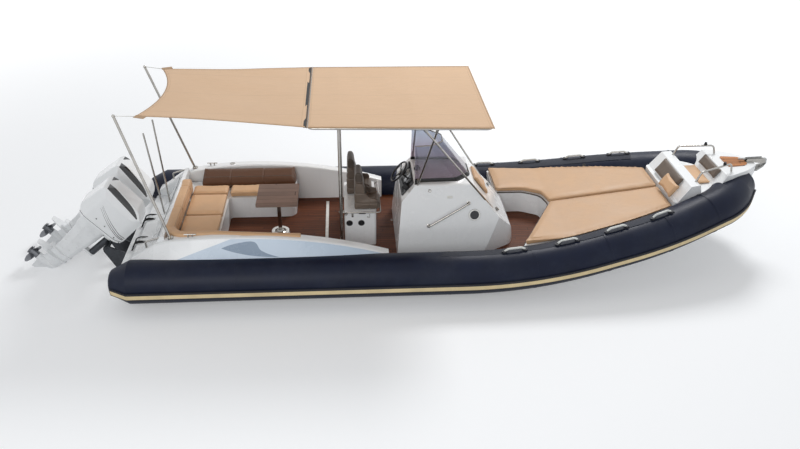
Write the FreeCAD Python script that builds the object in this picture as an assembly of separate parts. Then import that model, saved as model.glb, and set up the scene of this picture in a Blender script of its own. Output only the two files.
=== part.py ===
import FreeCAD, Part
import math
import os

# Rigid inflatable boat afloat. Millimetres, +X to the bow, +Y to port, +Z up.
# The origin lies on the waterline, amidships, on the centre line.

V = FreeCAD.Vector
UP = V(0, 0, 1)
PORTWARD = V(0, 1, 0)
SIDES = (-1, 1)
SIDE_NAMES = {-1: "starboard", 1: "port"}

# Clearances
SEAT_GAP = 0.4          # between pieces that rest on each other
SOFT_GAP = 0.4          # round cushions and sheets
PIN_GAP = 0.05          # radial, at turning pins

# Inflated tubes
TUBE_R = 330.0
TUBE_Y = 1475.0         # centre line off the middle
TUBE_Z = 430.0          # centre line over the water
TUBE_AFT_X = -4300.0    # end of the round part, start of the aft cone
TUBE_CONE = 290.0
TUBE_CONE_R = 185.0
TUBE_CONE_ROUND = 75.0
BEND_SHARE = 0.49       # share of a run that each tangent arc takes
# Tube centre line at the bow, as the corners of a rounded route: x, y, z
BOW_ROUTE = (
    (1780.0, TUBE_Y, TUBE_Z),
    (3850.0, 1115.0, 795.0),
    (5075.0, 650.0, 1065.0),
    (5410.0, 175.0, 1150.0),
)

# Rub rail on the outer side of each tube
RAIL_H = 125.0
RAIL_T = 26.0
RAIL_DROP = 45.0        # its middle below the tube's centre line

# Hull: even aft of the bend, then drawn in and up to the stem head
TRANSOM_X = -4600.0
HULL_BEND_X = 600.0
STEM_X = 5330.0
BEND_STATIONS = 9
FLOOR_Z = 370.0
SOLE_T = 30.0
SOLE_AFT_X, SOLE_NARROW_X, SOLE_FWD_X = -4200.0, 1200.0, 2560.0
SOLE_HALF, SOLE_FWD_HALF = 1250.0, 1100.0
HULL_TOP = FLOOR_Z - SOLE_T
KEEL_Z, STEM_FOOT_Z = -500.0, 780.0
CHINE_HALF, STEM_HALF = 1185.0, 125.0
CHINE_Z, STEM_CHINE_Z = -50.0, 880.0
CHINE_FLAT = 55.0
STEM_TOP_Z = 985.0
TOP_FLARE = 140.0       # most that the topsides lean out under the tubes
STRAKE_SHARES = (0.34, 0.66)
STRAKE_W = 45.0

# Cockpit coaming
COAMING_CREST_X, COAMING_CREST_Z = -2700.0, 1045.0
COAMING_NOSE_X, COAMING_NOSE_Z = -430.0, 690.0
COAMING_TURN_X = -3700.0
# Where the coaming turns down to the aft deck: x, z of its top
COAMING_AFT = ((-4330.0, 640.0), (-4150.0, 755.0), (-3950.0, 895.0))
COAMING_INNER, COAMING_PULL = 1130.0, 130.0     # inner half width, and how far it draws in aft
COAMING_CROWN = 160.0   # width of the flat top
COAMING_ROUND = 24.0
COAMING_FOOT_Y = 1090.0
COAMING_SKIRT_Y = 1480.0
COAMING_SKIRT_Z = TUBE_Z + 0.6 * TUBE_R
PANEL_T = 5.0

# Aft deck behind the sofa, down to the engine well
DECK_TOP = 1000.0
DECK_BACK_X = -3860.0
DECK_SLOPE_X, DECK_SLOPE_Z = -4200.0, 500.0
DECK_END_X, DECK_END_Z = -4440.0, 450.0
DECK_HALF = 1140.0

# Sofa
SEAT_TOP = 860.0
CUSHION_T = 100.0
CUSHION_ROUND = 35.0
CUSHION_SEAM = 4.0
SOFA_BACK_X = -3670.0
SOFA_FRONT_X = -3050.0
SOFA_NEAR_Y = -940.0
SOFA_PORT_FRONT_Y = 450.0
SOFA_PORT_END_X = -1930.0
SOFA_PORT_BACK_Y = 760.0
BACKREST_TOP = 1035.0

# Table
TABLE_X = -2170.0
TABLE_Y = -80.0
TABLE_L = 660.0
TABLE_W = 720.0
TABLE_TOP = 1100.0
TABLE_T = 35.0
PEDESTAL_R = 32.0
PEDESTAL_FOOT_R = 150.0
PEDESTAL_FOOT_T = 40.0
PEDESTAL_HEAD_R, PEDESTAL_HEAD_T = 110.0, 10.0

# Helm box and seats
HELM_X0, HELM_X1 = -1100.0, -590.0
HELM_Y0, HELM_Y1 = -520.0, 500.0
HELM_TOP = 1000.0
HELM_ROUND = 45.0
# Helm seats: name, centre y, x of the seat's back
HELM_SEATS = (
    ("helm_seat_port", 235.0, -1045.0),
    ("helm_seat_starboard", -270.0, -930.0),
)
HELM_SEAT_W = 430.0
HELM_SEAT_H = 640.0
HELM_SEAT_DEEP = 425.0
HELM_WING_T = 50.0

# Console
CONSOLE_Y = -100.0      # its middle
CONSOLE_WALL = 14.0
CONSOLE_TOP = 1500.0
CONSOLE_FOOT_HALF = 780.0
CONSOLE_TOP_HALF = 500.0
CONSOLE_LEAN = (CONSOLE_FOOT_HALF - CONSOLE_TOP_HALF) / (CONSOLE_TOP - FLOOR_Z)
# Side outline of the console: x, z, rounding
CONSOLE_SIDE = (
    (-270.0, FLOOR_Z, 0.0),
    (-200.0, 1230.0, 60.0),
    (20.0, CONSOLE_TOP, 45.0),
    (930.0, CONSOLE_TOP, 60.0),
    (1250.0, 1080.0, 0.0),
    (1600.0, 700.0, 120.0),
    (1660.0, FLOOR_Z, 0.0),
)
CONSOLE_SHOULDER_X, CONSOLE_NOSE_HALF, CONSOLE_FRONT_ROUND = 1120.0, 450.0, 260.0
DOOR_X0, DOOR_X1 = 250.0, 650.0
DOOR_Z0, DOOR_Z1 = 440.0, 1250.0
DOOR_GAP = 5.0
DOOR_ROUND = 50.0
HINGE_R, HINGE_PIN_R, HINGE_OUT = 7.0, 3.0, 8.5
HINGE_L, HINGE_KNUCKLE, HINGE_PLAY = 36.0, 16.0, 0.5
HINGE_LEAF_W, HINGE_LEAF_T = 34.0, 4.0
HINGE_Z = (560.0, 1130.0)
PORTHOLE_X, PORTHOLE_Z, PORTHOLE_R = 957.0, 1010.0, 75.0
PORTHOLE_RIM, PORTHOLE_RIM_T = 20.0, 9.0
DASH_Y0, DASH_Y1, DASH_T = -500.0, 290.0, 12.0

# Windshield on the console's top: x of the front, of the bend and half widths, foot and head
SCREEN_T = 8.0
SCREEN_TOP = 2080.0
SCREEN_FOOT = (915.0, 700.0, 412.0, 200.0)
SCREEN_HEAD = (460.0, 280.0, 318.0, 130.0)
SCREEN_ROUND = 110.0

# Shade
CANOPY_AFT_X, CANOPY_FWD_X = -1600.0, 1050.0
CANOPY_HALF_AFT, CANOPY_HALF_FWD = 1230.0, 1290.0
CANOPY_Z_AFT, CANOPY_Z_FWD = 2770.0, 2744.0
CANOPY_ROUND = 60.0
SHEET_T = 8.0
FRAME_R = 19.0
FRAME_INSET = 31.0
FRAME_BEND = 80.0
LEG_X, LEG_Y = -1150.0, 555.0
LEG_R = 25.0
FLANGE_R, FLANGE_T = 55.0, 8.0
# Struts from the console to the side bars: foot x, y off the console's middle, head x
STRUTS = ((1400.0, 400.0, 50.0), (47.0, 455.0, 250.0))
STRUT_R = 15.0
AWNING_CORNER_X = -3960.0
AWNING_TAPER = 270.0    # how far each side draws in towards its aft corner
AWNING_CORNER_HALF = CANOPY_HALF_AFT - AWNING_TAPER
AWNING_HOLLOW = 220.0   # how far the aft edge curves in
AWNING_Z_AFT = 2860.0
POLE_FOOT_X = -3700.0
POLE_SPREAD = 40.0      # pole heads outside the awning's corners
POLE_TOP_X, POLE_TOP_Y, POLE_TOP_Z = -4240.0, AWNING_CORNER_HALF + POLE_SPREAD, 2890.0
POLE_R = 20.0
POLE_FOOT_R, POLE_FOOT_T = 45.0, 25.0
LINE_R = 4.0

# Bow
PAD_T = 90.0
PAD_AFT_Z, PAD_FWD_Z = 850.0, 1095.0
PAD_LEVEL_X, PAD_FWD_X = 2350.0, 4200.0
PAD_AFT_PORT_X, PAD_AFT_STARBOARD_X = 1500.0, 1660.0
RECESS_HALF = 450.0
# Outer edge of the sunpads over the tubes: x, half width
PAD_EDGE = ((2450.0, 1215.0), (3250.0, 1075.0), (3800.0, 900.0), (PAD_FWD_X, 690.0))
PAD_CORNER_Y = 1270.0
PAD_SEAM = 4.0
NOSE_X = 5740.0
NOSE_Z = 1500.0
# Slopes of the bow moulding that carry cushions, low end and high end: x, z
BOW_BACK_AFT = ((4270.0, 1145.0), (4440.0, 1390.0))
BOW_SEAT = ((4640.0, 1250.0), (4930.0, 1270.0))
BOW_BACK_FWD = (BOW_SEAT[1], (5080.0, NOSE_Z))
# Plan of the bow moulding's starboard half: x, half width
BOW_PLAN = ((PAD_FWD_X, 690.0), (4700.0, 620.0), (5200.0, 470.0), (5500.0, 320.0), (NOSE_X, 120.0))
NOSE_PAD_T = 14.0
ROLLER_X = 5600.0
ROLLER_HALF, ROLLER_CHEEK, ROLLER_R = 38.0, 6.0, 20.0
ROLLER_END_X = 5895.0
SHANK_T = 18.0
# Plough fluke of the anchor, from its tip back: x, z of the keel, half span, lift of the wings
FLUKE = ((5975.0, 1470.0, 5.0, 2.0), (5900.0, 1380.0, 62.0, 40.0), (5800.0, 1312.0, 92.0, 62.0))
FLUKE_T = 11.0
# Bow rail: x, y, z of its route, and the lamp on its forward bend
BOW_RAIL = ((4560.0, 500.0, 1380.0), (4640.0, 490.0, 1570.0), (5180.0, 345.0, 1640.0),
            (5215.0, 330.0, NOSE_Z - 20.0))
BOW_RAIL_R = 16.0
LAMP_X, LAMP_Y, LAMP_Z, LAMP_R, LAMP_H = 5190.0, 342.0, 1652.0, 30.0, 55.0

# Steering wheel on the dash slope
WHEEL_Y = -50.0
WHEEL_R = 185.0
WHEEL_RIM = 14.0
WHEEL_OUT = 150.0       # rim's distance from the dash
WHEEL_DISH = 45.0
COLUMN_R = 14.0
SPOKE_R = 9.0
HUB_R, HUB_T = 42.0, 30.0
THROTTLE_Y = -430.0

# Small fittings
HANDLE_L, HANDLE_H, HANDLE_R, HANDLE_PAD_R = 330.0, 55.0, 13.0, 38.0
HANDLE_X = (1500.0, 2350.0, 3150.0, 3900.0)
CLEAT_X, CLEAT_L, CLEAT_H, CLEAT_R, CLEAT_FEET = -3400.0, 180.0, 45.0, 10.0, 64.0
GRAB_R = 14.0
GRAB_BEND = 28.0
GRAB_LOW, GRAB_HIGH = (230.0, 850.0), (860.0, 1200.0)
STERN_RAIL = ((-4080.0, 1120.0, 700.0), (-4090.0, 1120.0, 905.0), (-3830.0, 1120.0, 985.0),
              (-3820.0, 1120.0, 880.0))
MAST_R = 14.0
# Stern poles: foot x, y, top x, top z
STERN_POLES = (
    (-4040.0, 60.0, -4180.0, 2150.0),
    (-4000.0, 330.0, -4080.0, 2260.0),
)

# Tow eyes: lugs on the stem and the transom, bored across the boat
EYE_BORE_R = 11.0
EYE_T = 14.0
EYE_TIP_R = 26.0
EYE_OUT = 38.0          # bore off the hull
BOW_EYE_X = 5010.0
STERN_EYE_Y, STERN_EYE_Z = 800.0, 120.0

# Outboard engines, drawn upright about their tilt axis and then tilted
ENGINE_SPACING = 720.0
TILT_X, TILT_Z = -4900.0, 420.0
REST_TILT = 50.0
STEER_X = -70.0         # steering axis behind the tilt axis
SWIVEL_R = 55.0
SWIVEL_TOP, SWIVEL_FOOT = 60.0, -330.0
SWIVEL_ARM_R = 40.0
YOKE_T, YOKE_GAP, YOKE_R = 40.0, 5.0, 45.0
KING_R, KING_IN = 18.0, 40.0
TILT_TUBE_R = 22.0
CLAMP_IN, CLAMP_OUT = 150.0, 178.0
CLAMP_BACK_T = 22.0
COWL_WALL = 8.0
COWL_HALF = 252.0
COWL_FOOT = 220.0
# Cowl from the side: x, z, rounding
COWL_SIDE = (
    (95.0, COWL_FOOT, 60.0), (62.0, 745.0, 150.0), (-115.0, 895.0, 150.0), (-600.0, 948.0, 160.0),
    (-745.0, 865.0, 120.0), (-790.0, 350.0, 90.0), (-700.0, COWL_FOOT, 60.0),
)
# Cowl from the front, one side: share of the half width, z, rounding
COWL_FRONT = ((0.90, COWL_FOOT - 20.0, 0.0), (1.0, 430.0, 250.0), (0.95, 735.0, 170.0), (0.62, 950.0, 130.0))
# Cowl from above, one side: x, share of the half width, rounding
COWL_PLAN = ((110.0, 0.55, 110.0), (-50.0, 0.93, 200.0), (-330.0, 1.0, 300.0), (-650.0, 0.90, 170.0),
             (-805.0, 0.50, 100.0))
POWERHEAD = (-600.0, 0.0, 170.0, 470.0)     # x low, x high, half width, height
# Leg sections: z, aft x, forward x, half width
LEG_SECTIONS = (
    (COWL_FOOT - SEAT_GAP, -650.0, -150.0, 165.0),
    (60.0, -615.0, -160.0, 105.0),
    (-150.0, -570.0, -165.0, 66.0),
    (-500.0, -535.0, -200.0, 52.0),
    (-770.0, -525.0, -225.0, 46.0),
    (-965.0, -540.0, -255.0, 40.0),
)
PROP_X, PROP_Z = -640.0, -1010.0
PROP_R = 200.0
PROP_PITCH = 430.0
PROP_CLEAR = 25.0       # from the blade tips to the plate over them
PROP_HUB_R, PROP_HUB_L = 58.0, 150.0
PROP_SHAFT_R, PROP_SHAFT_L = 16.0, 75.0
PROP_GAP = 5.0          # between hub and gear case
PROP_BLADES = 3
# Blade sections: share of the screw's radius, chord, thickness
BLADE_SECTIONS = ((0.22, 95.0, 15.0), (0.5, 155.0, 11.0), (0.8, 150.0, 7.0), (1.0, 70.0, 4.0))
# Section of a blade round its middle: share of the chord, share of the thickness
BLADE_LENS = ((-0.5, 0.0), (-0.2, 0.5), (0.2, 0.5), (0.5, 0.0), (0.2, -0.3), (-0.2, -0.3))
PLATE_Z = PROP_Z + PROP_R + PROP_CLEAR
PLATE_T = 12.0
GEAR_R = 62.0
GEAR_NOSE = 150.0
GEAR_FWD_X = -280.0
SKEG = ((-560.0, PROP_Z - 40.0), (-300.0, PROP_Z - 40.0), (-410.0, -1225.0), (-540.0, -1240.0))
SKEG_T = 18.0


def place_on(axis, at, a, b):
    """Point of a flat outline drawn across an axis."""
    return {"x": V(at, a, b), "y": V(a, at, b), "z": V(a, b, at)}[axis]


def corner_arc(corner, back, ahead, cut):
    """Start, middle and end of the arc tangent to both runs, cut back from their corner."""
    half = back.getAngle(ahead) / 2
    bisector = back + ahead
    bisector.normalize()
    bend = cut * math.tan(half)
    centre = corner + bisector * math.hypot(bend, cut)
    return corner + back * cut, centre - bisector * bend, corner + ahead * cut


def outline(points, axis, at, radius=0.0):
    """Closed wire across an axis, its corners rounded by radius or by a point's own third number."""
    corners = [place_on(axis, at, p[0], p[1]) for p in points]
    arcs = []
    for i, corner in enumerate(corners):
        back = corners[i - 1] - corner
        ahead = corners[(i + 1) % len(corners)] - corner
        room = BEND_SHARE * min(back.Length, ahead.Length)
        back.normalize()
        ahead.normalize()
        own = points[i][2] if len(points[i]) > 2 else radius
        cut = min(room, own / math.tan(back.getAngle(ahead) / 2))
        arcs.append(corner_arc(corner, back, ahead, cut))
    edges = []
    for i, (start, middle, end) in enumerate(arcs):
        if (end - start).Length > 0.01:
            edges.append(Part.Arc(start, middle, end).toShape())
        edges.append(Part.LineSegment(end, arcs[(i + 1) % len(arcs)][0]).toShape())
    return Part.Wire(edges)


def box(x0, x1, y0, y1, z0, z1):
    return Part.makeBox(x1 - x0, y1 - y0, z1 - z0, V(x0, y0, z0))


def rod(a, b, r):
    a, b = V(*a), V(*b)
    return Part.makeCylinder(r, (b - a).Length, a, b - a)


def prism(points, axis, low, high, radius=0.0, inset=0.0):
    """Outline across an axis, drawn in by inset and pushed from low to high."""
    face = Part.Face(outline(points, axis, low, radius))
    if inset:
        face = face.makeOffset2D(-inset)
    return face.extrude(place_on(axis, high - low, 0, 0))


def both_sides(half):
    """Outline from one side's points, each mirrored: x, half width, rounding."""
    return list(half) + [(p[0], -p[1]) + tuple(p[2:]) for p in reversed(half)]


def polygon(points):
    ring = [V(*p) for p in points]
    return Part.makePolygon(ring + ring[:1])


def loft(wires):
    return Part.makeLoft(wires, True, True)


def mirrored(shape):
    return shape.mirror(V(0, 0, 0), PORTWARD)


def fused(shapes):
    return shapes[0].fuse(shapes[1:]).removeSplitter()


def largest(shape):
    return max(shape.Solids, key=lambda solid: solid.Volume)


def between(rows, x):
    """Value at x of a table of x and value."""
    for (x0, a), (x1, b) in zip(rows, rows[1:]):
        if x0 <= x <= x1:
            return a + (b - a) * (x - x0) / (x1 - x0)
    raise ValueError(x)


def route_wire(points, radius=None):
    """Straight runs joined by tangent arcs, of one radius or as large as the runs allow."""
    pts = [V(*p) for p in points]
    edges = []
    start = pts[0]
    for i in range(1, len(pts) - 1):
        back, ahead = pts[i - 1] - pts[i], pts[i + 1] - pts[i]
        cut = BEND_SHARE * min(back.Length, ahead.Length)
        back.normalize()
        ahead.normalize()
        if radius is not None:
            cut = min(cut, radius / math.tan(back.getAngle(ahead) / 2))
        a, middle, b = corner_arc(pts[i], back, ahead, cut)
        edges.append(Part.LineSegment(start, a).toShape())
        edges.append(Part.Arc(a, middle, b).toShape())
        start = b
    edges.append(Part.LineSegment(start, pts[-1]).toShape())
    return Part.Wire(edges)


def swept(path, profile):
    """Closed profile wire carried along a path, kept upright."""
    sweep = Part.BRepOffsetAPI.MakePipeShell(path)
    sweep.setBiNormalMode(UP)
    sweep.add(profile)
    sweep.build()
    sweep.makeSolid()
    return sweep.shape()


def bent_rod(points, r, radius):
    """Round bar along a bent route."""
    start = V(*points[0])
    ring = Part.Wire([Part.Circle(start, V(*points[1]) - start, r).toShape()])
    sweep = Part.BRepOffsetAPI.MakePipeShell(route_wire(points, radius))
    sweep.setFrenetMode(False)
    sweep.add(ring)
    sweep.build()
    sweep.makeSolid()
    return sweep.shape()


def save(node, *shapes):
    solids = [s for shape in shapes for s in shape.Solids]
    whole = solids[0] if len(solids) == 1 else Part.makeCompound(solids)
    whole.exportStep("parts/" + node + ".step")
    size = whole.optimalBoundingBox(False, False)
    print(node, len(solids), whole.isValid(), round(whole.Volume / 1e6, 2),
          [round(v) for v in (size.XMin, size.XMax, size.YMin, size.YMax, size.ZMin, size.ZMax)])


def tube_path(side):
    route = [(TUBE_AFT_X, TUBE_Y, TUBE_Z)] + list(BOW_ROUTE)
    return route_wire([(x, side * y, z) for x, y, z in route])


def tube(side, grow=0.0):
    """One inflated tube with its aft cone, or its envelope when grown."""
    start = V(TUBE_AFT_X, side * TUBE_Y, TUBE_Z)
    ring = Part.Wire([Part.Circle(start, V(1, 0, 0), TUBE_R + grow).toShape()])
    body = swept(tube_path(side), ring)
    back = TUBE_AFT_X - TUBE_CONE - grow
    half = outline([(TUBE_AFT_X, TUBE_Z), (TUBE_AFT_X, TUBE_Z + TUBE_R + grow),
                    (back, TUBE_Z + TUBE_CONE_R + grow, TUBE_CONE_ROUND), (back, TUBE_Z)], "y", start.y)
    cone = Part.Face(half).revolve(start, V(1, 0, 0), 360)
    middle = box(0, NOSE_X + 500, 0, 3000, -1000, 3000)
    if side < 0:
        middle = mirrored(middle)
    kept = body.common(box(-9000, 0, -3000, 3000, -1000, 3000)).fuse(body.common(middle))
    return kept.fuse(cone).removeSplitter()


def rub_rail(side):
    """Flat-faced rail whose back follows the tube's skin."""
    inner, outer = TUBE_R + SEAT_GAP, TUBE_R + RAIL_T
    low = -(RAIL_DROP + RAIL_H / 2) / TUBE_R
    high = -(RAIL_DROP - RAIL_H / 2) / TUBE_R
    mid = (low + high) / 2

    def at(r, a):
        return V(TUBE_AFT_X, side * (TUBE_Y + r * math.cos(a)), TUBE_Z + r * math.sin(a))

    back = Part.Arc(at(inner, low), at(inner, mid), at(inner, high)).toShape()
    front = Part.Arc(at(outer, high), at(outer, mid), at(outer, low)).toShape()
    ends = [Part.LineSegment(at(inner, high), at(outer, high)).toShape(),
            Part.LineSegment(at(outer, low), at(inner, low)).toShape()]
    return swept(tube_path(side), Part.Wire([back, ends[0], front, ends[1]]))


TUBE_ENVELOPE = {side: tube(side, SEAT_GAP) for side in SIDES}


def clear_of_tubes(shape):
    for side in SIDES:
        shape = shape.cut(TUBE_ENVELOPE[side])
    return largest(shape)


def drawn(x, first, last, power, start=HULL_BEND_X):
    """Value that leaves first at a station and reaches last at the stem, ever faster."""
    share = max(0.0, (x - start) / (STEM_X - start))
    return first + (last - first) * share ** power


def keel_z(x):
    return drawn(x, KEEL_Z, STEM_FOOT_Z, 3.0)


def hull_section(x):
    """Half section of the hull, from the keel over strakes and chine to the deck edge: y, z."""
    share = max(0.0, (x - HULL_BEND_X) / (STEM_X - HULL_BEND_X))
    keel = keel_z(x)
    chine = drawn(x, CHINE_HALF, STEM_HALF, 2.6)
    chine_z = drawn(x, CHINE_Z, STEM_CHINE_Z, 2.3)
    rise = (chine_z - keel) / chine
    taper = 1 - 0.8 * share
    points = [(0, keel)]
    for strake in STRAKE_SHARES:
        y = strake * chine
        z = keel + rise * y
        width = STRAKE_W * taper
        points += [(y, z), (y + width, z), (y + width, z + rise * width)]
    flare = 10 + TOP_FLARE * 4 * share * (1 - share)
    top_z = drawn(x, HULL_TOP, STEM_TOP_Z, 1.4, SOLE_FWD_X)
    flat = CHINE_FLAT * taper
    points += [(chine, chine_z), (chine + flat, chine_z), (chine + flat + flare, top_z)]
    return points


def hull_stations():
    run = STEM_X - HULL_BEND_X
    even = [HULL_BEND_X + run * i / BEND_STATIONS for i in range(BEND_STATIONS + 1)]
    return sorted([TRANSOM_X, SOLE_FWD_X] + even)


def hull_form():
    rings = []
    for x in hull_stations():
        half = hull_section(x)
        rings.append([(x, y, z) for y, z in half] + [(x, -y, z) for y, z in reversed(half[1:])])
    return loft([polygon(ring) for ring in rings])


def build_hull(form):
    save("hull", clear_of_tubes(form))
    for side in SIDES:
        save("tube_" + SIDE_NAMES[side], tube(side))
    save("rub_rails", *[rub_rail(side) for side in SIDES])
    plan = both_sides([(SOLE_AFT_X, SOLE_HALF), (SOLE_NARROW_X, SOLE_HALF), (SOLE_FWD_X, SOLE_FWD_HALF)])
    save("sole", clear_of_tubes(prism(plan, "z", HULL_TOP, FLOOR_Z)))


def coaming_top(x):
    """Height of the coaming: an arc over the cockpit, turned down aft to the deck."""
    if x < COAMING_TURN_X:
        return between(COAMING_AFT + ((COAMING_TURN_X, coaming_top(COAMING_TURN_X)),), x)
    reach, drop = COAMING_NOSE_X - COAMING_CREST_X, COAMING_CREST_Z - COAMING_NOSE_Z
    radius = (reach ** 2 + drop ** 2) / (2 * drop)
    return COAMING_CREST_Z - radius + math.sqrt(radius ** 2 - (x - COAMING_CREST_X) ** 2)


def coaming_inner(x):
    share = max(0.0, (COAMING_CREST_X - x) / (COAMING_CREST_X - COAMING_AFT[0][0]))
    return COAMING_INNER - COAMING_PULL * share ** 2


def coaming_stations():
    aft = [x for x, _ in COAMING_AFT]
    run = COAMING_NOSE_X - COAMING_TURN_X
    return aft + [COAMING_TURN_X + run * i / 10 for i in range(11)]


def coaming(side):
    rings = []
    for x in coaming_stations():
        inner, top, r = coaming_inner(x), coaming_top(x), COAMING_ROUND
        outer = inner + COAMING_CROWN
        ring = [(COAMING_FOOT_Y, FLOOR_Z), (inner, top - r),
                (inner + 0.3 * r, top - 0.3 * r), (inner + r, top),
                (outer - r, top), (outer, top - 0.5 * r), (COAMING_SKIRT_Y, COAMING_SKIRT_Z),
                (COAMING_FOOT_Y + 120, FLOOR_Z)]
        rings.append(polygon([(x, side * y, z) for y, z in ring]))
    return clear_of_tubes(loft(rings))


def side_panel(side):
    """Thin grey panel laid on the coaming's outer slope."""
    rings = []
    for x in coaming_stations()[2:]:
        edge = V(0, coaming_inner(x) + COAMING_CROWN, coaming_top(x) - 0.5 * COAMING_ROUND)
        skirt = V(0, COAMING_SKIRT_Y, COAMING_SKIRT_Z)
        slope = skirt - edge
        slope.normalize()
        normal = V(0, -slope.z, slope.y)
        a = edge + slope * 8 + normal * SEAT_GAP
        b = skirt + normal * SEAT_GAP
        ring = [a, b, b + normal * PANEL_T, a + normal * PANEL_T]
        rings.append(polygon([(x, side * p.y, p.z) for p in ring]))
    return clear_of_tubes(loft(rings))


def build_cockpit():
    deck = prism([(SOFA_BACK_X - 130, DECK_TOP), (DECK_BACK_X, DECK_TOP, 40.0),
                  (DECK_SLOPE_X, DECK_SLOPE_Z, 60.0),
                  (DECK_END_X, DECK_END_Z, 30.0), (DECK_END_X, HULL_TOP + SEAT_GAP),
                  (SOLE_AFT_X, HULL_TOP + SEAT_GAP), (SOLE_AFT_X, FLOOR_Z), (SOFA_BACK_X - 130, FLOOR_Z)],
                 "y", -DECK_HALF, DECK_HALF)
    moulding = clear_of_tubes(fused([coaming(-1), coaming(1), deck]))
    save("cockpit_moulding", moulding)
    save("side_panels", side_panel(-1), side_panel(1))
    return moulding


def build_sofa(moulding):
    low = SEAT_TOP - CUSHION_T
    base_top = low - SOFT_GAP
    back_x = DECK_BACK_X + SEAT_GAP
    plan = [(back_x, SOFA_NEAR_Y - 100), (SOFA_FRONT_X, SOFA_NEAR_Y - 100, 140.0),
            (SOFA_FRONT_X, SOFA_PORT_FRONT_Y, 60.0), (SOFA_PORT_END_X, SOFA_PORT_FRONT_Y, 140.0),
            (SOFA_PORT_END_X, COAMING_FOOT_Y - 40), (back_x, COAMING_FOOT_Y - 40)]
    save("sofa_base", largest(prism(plan, "z", FLOOR_Z + SEAT_GAP, base_top).cut(moulding)))

    # Seat cushions: x low, x high, y low, y high
    mid_y = (SOFA_NEAR_Y + SOFA_PORT_FRONT_Y) / 2
    mid_x = (SOFA_FRONT_X + SOFA_PORT_END_X) / 2
    half = CUSHION_SEAM / 2
    seats = (
        (SOFA_BACK_X, SOFA_FRONT_X, SOFA_NEAR_Y, mid_y - half),
        (SOFA_BACK_X, SOFA_FRONT_X, mid_y + half, SOFA_PORT_FRONT_Y - half),
        (SOFA_BACK_X, SOFA_FRONT_X, SOFA_PORT_FRONT_Y + half, SOFA_PORT_BACK_Y),
        (SOFA_FRONT_X + CUSHION_SEAM, mid_x - half, SOFA_PORT_FRONT_Y, SOFA_PORT_BACK_Y),
        (mid_x + half, SOFA_PORT_END_X, SOFA_PORT_FRONT_Y, SOFA_PORT_BACK_Y),
    )
    save("sofa_seats", *[prism([(x0, y0), (x1, y0), (x1, y1), (x0, y1)], "z", low, SEAT_TOP, CUSHION_ROUND)
                         for x0, x1, y0, y1 in seats])

    edge = SOFA_PORT_BACK_Y + CUSHION_SEAM
    port = [(edge, low), (edge, SEAT_TOP + 20), (edge + 60, SEAT_TOP + 70, 30.0), (1080, BACKREST_TOP, 20.0),
            (1090, BACKREST_TOP - 20), (1065, low)]
    aft = [(back_x + SOFT_GAP, low), (SOFA_BACK_X - CUSHION_SEAM, low),
           (SOFA_BACK_X - 20, BACKREST_TOP, 30.0),
           (back_x + 20, BACKREST_TOP, 20.0)]
    rests = [prism(port, "x", SOFA_FRONT_X - 500, SOFA_PORT_END_X),
             prism(aft, "y", SOFA_NEAR_Y, SOFA_PORT_BACK_Y - 60)]
    for nudge in (V(0, -SOFT_GAP, 0), V(SOFT_GAP, 0, 0), V(0, 0, SOFT_GAP)):
        rests = [largest(rest.cut(moulding.translated(nudge))) for rest in rests]
    save("sofa_backrests", *rests)


def build_table():
    x0, x1 = TABLE_X - TABLE_L / 2, TABLE_X + TABLE_L / 2
    y0, y1 = TABLE_Y - TABLE_W / 2, TABLE_Y + TABLE_W / 2
    under = TABLE_TOP - TABLE_T
    save("table_top", prism([(x0, y0), (x1, y0), (x1, y1), (x0, y1)], "z", under, TABLE_TOP, 30.0))
    floor, head = FLOOR_Z + SEAT_GAP, under - SEAT_GAP
    post = rod((TABLE_X, TABLE_Y, floor), (TABLE_X, TABLE_Y, head), PEDESTAL_R)
    foot = Part.makeCone(PEDESTAL_FOOT_R, 2 * PEDESTAL_R, PEDESTAL_FOOT_T, V(TABLE_X, TABLE_Y, floor))
    flange = Part.makeCylinder(PEDESTAL_HEAD_R, PEDESTAL_HEAD_T, V(TABLE_X, TABLE_Y, head - PEDESTAL_HEAD_T))
    save("table_pedestal", fused([post, foot, flange]))


def helm_seat(y, back_x):
    """Bucket seat: cushion, tall back and two side wings."""
    low = HELM_TOP + SOFT_GAP
    top = low + HELM_SEAT_H
    front = back_x + HELM_SEAT_DEEP
    side = [(back_x, low), (front, low, 30.0), (front + 5, low + 130, 50.0), (back_x + 175, low + 110, 60.0),
            (back_x + 110, top, 40.0), (back_x + 15, top, 30.0)]
    half = HELM_SEAT_W / 2
    body = prism(side, "y", y - half + HELM_WING_T - 5, y + half - HELM_WING_T + 5)
    wing = [(back_x, low), (front - 25, low, 30.0), (front - 45, low + 190, 60.0),
            (back_x + 190, low + 230, 60.0),
            (back_x + 130, top - 170, 40.0), (back_x + 12, top - 170, 40.0)]
    wings = [prism(wing, "y", y - half, y - half + HELM_WING_T),
             prism(wing, "y", y + half - HELM_WING_T, y + half)]
    return fused([body] + wings)


def build_helm_box():
    plan = [(HELM_X0, HELM_Y0), (HELM_X1, HELM_Y0), (HELM_X1, HELM_Y1), (HELM_X0, HELM_Y1)]
    save("helm_box", prism(plan, "z", FLOOR_Z + SEAT_GAP, HELM_TOP, HELM_ROUND))
    for name, y, back_x in HELM_SEATS:
        save(name, helm_seat(y, back_x))


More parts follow.
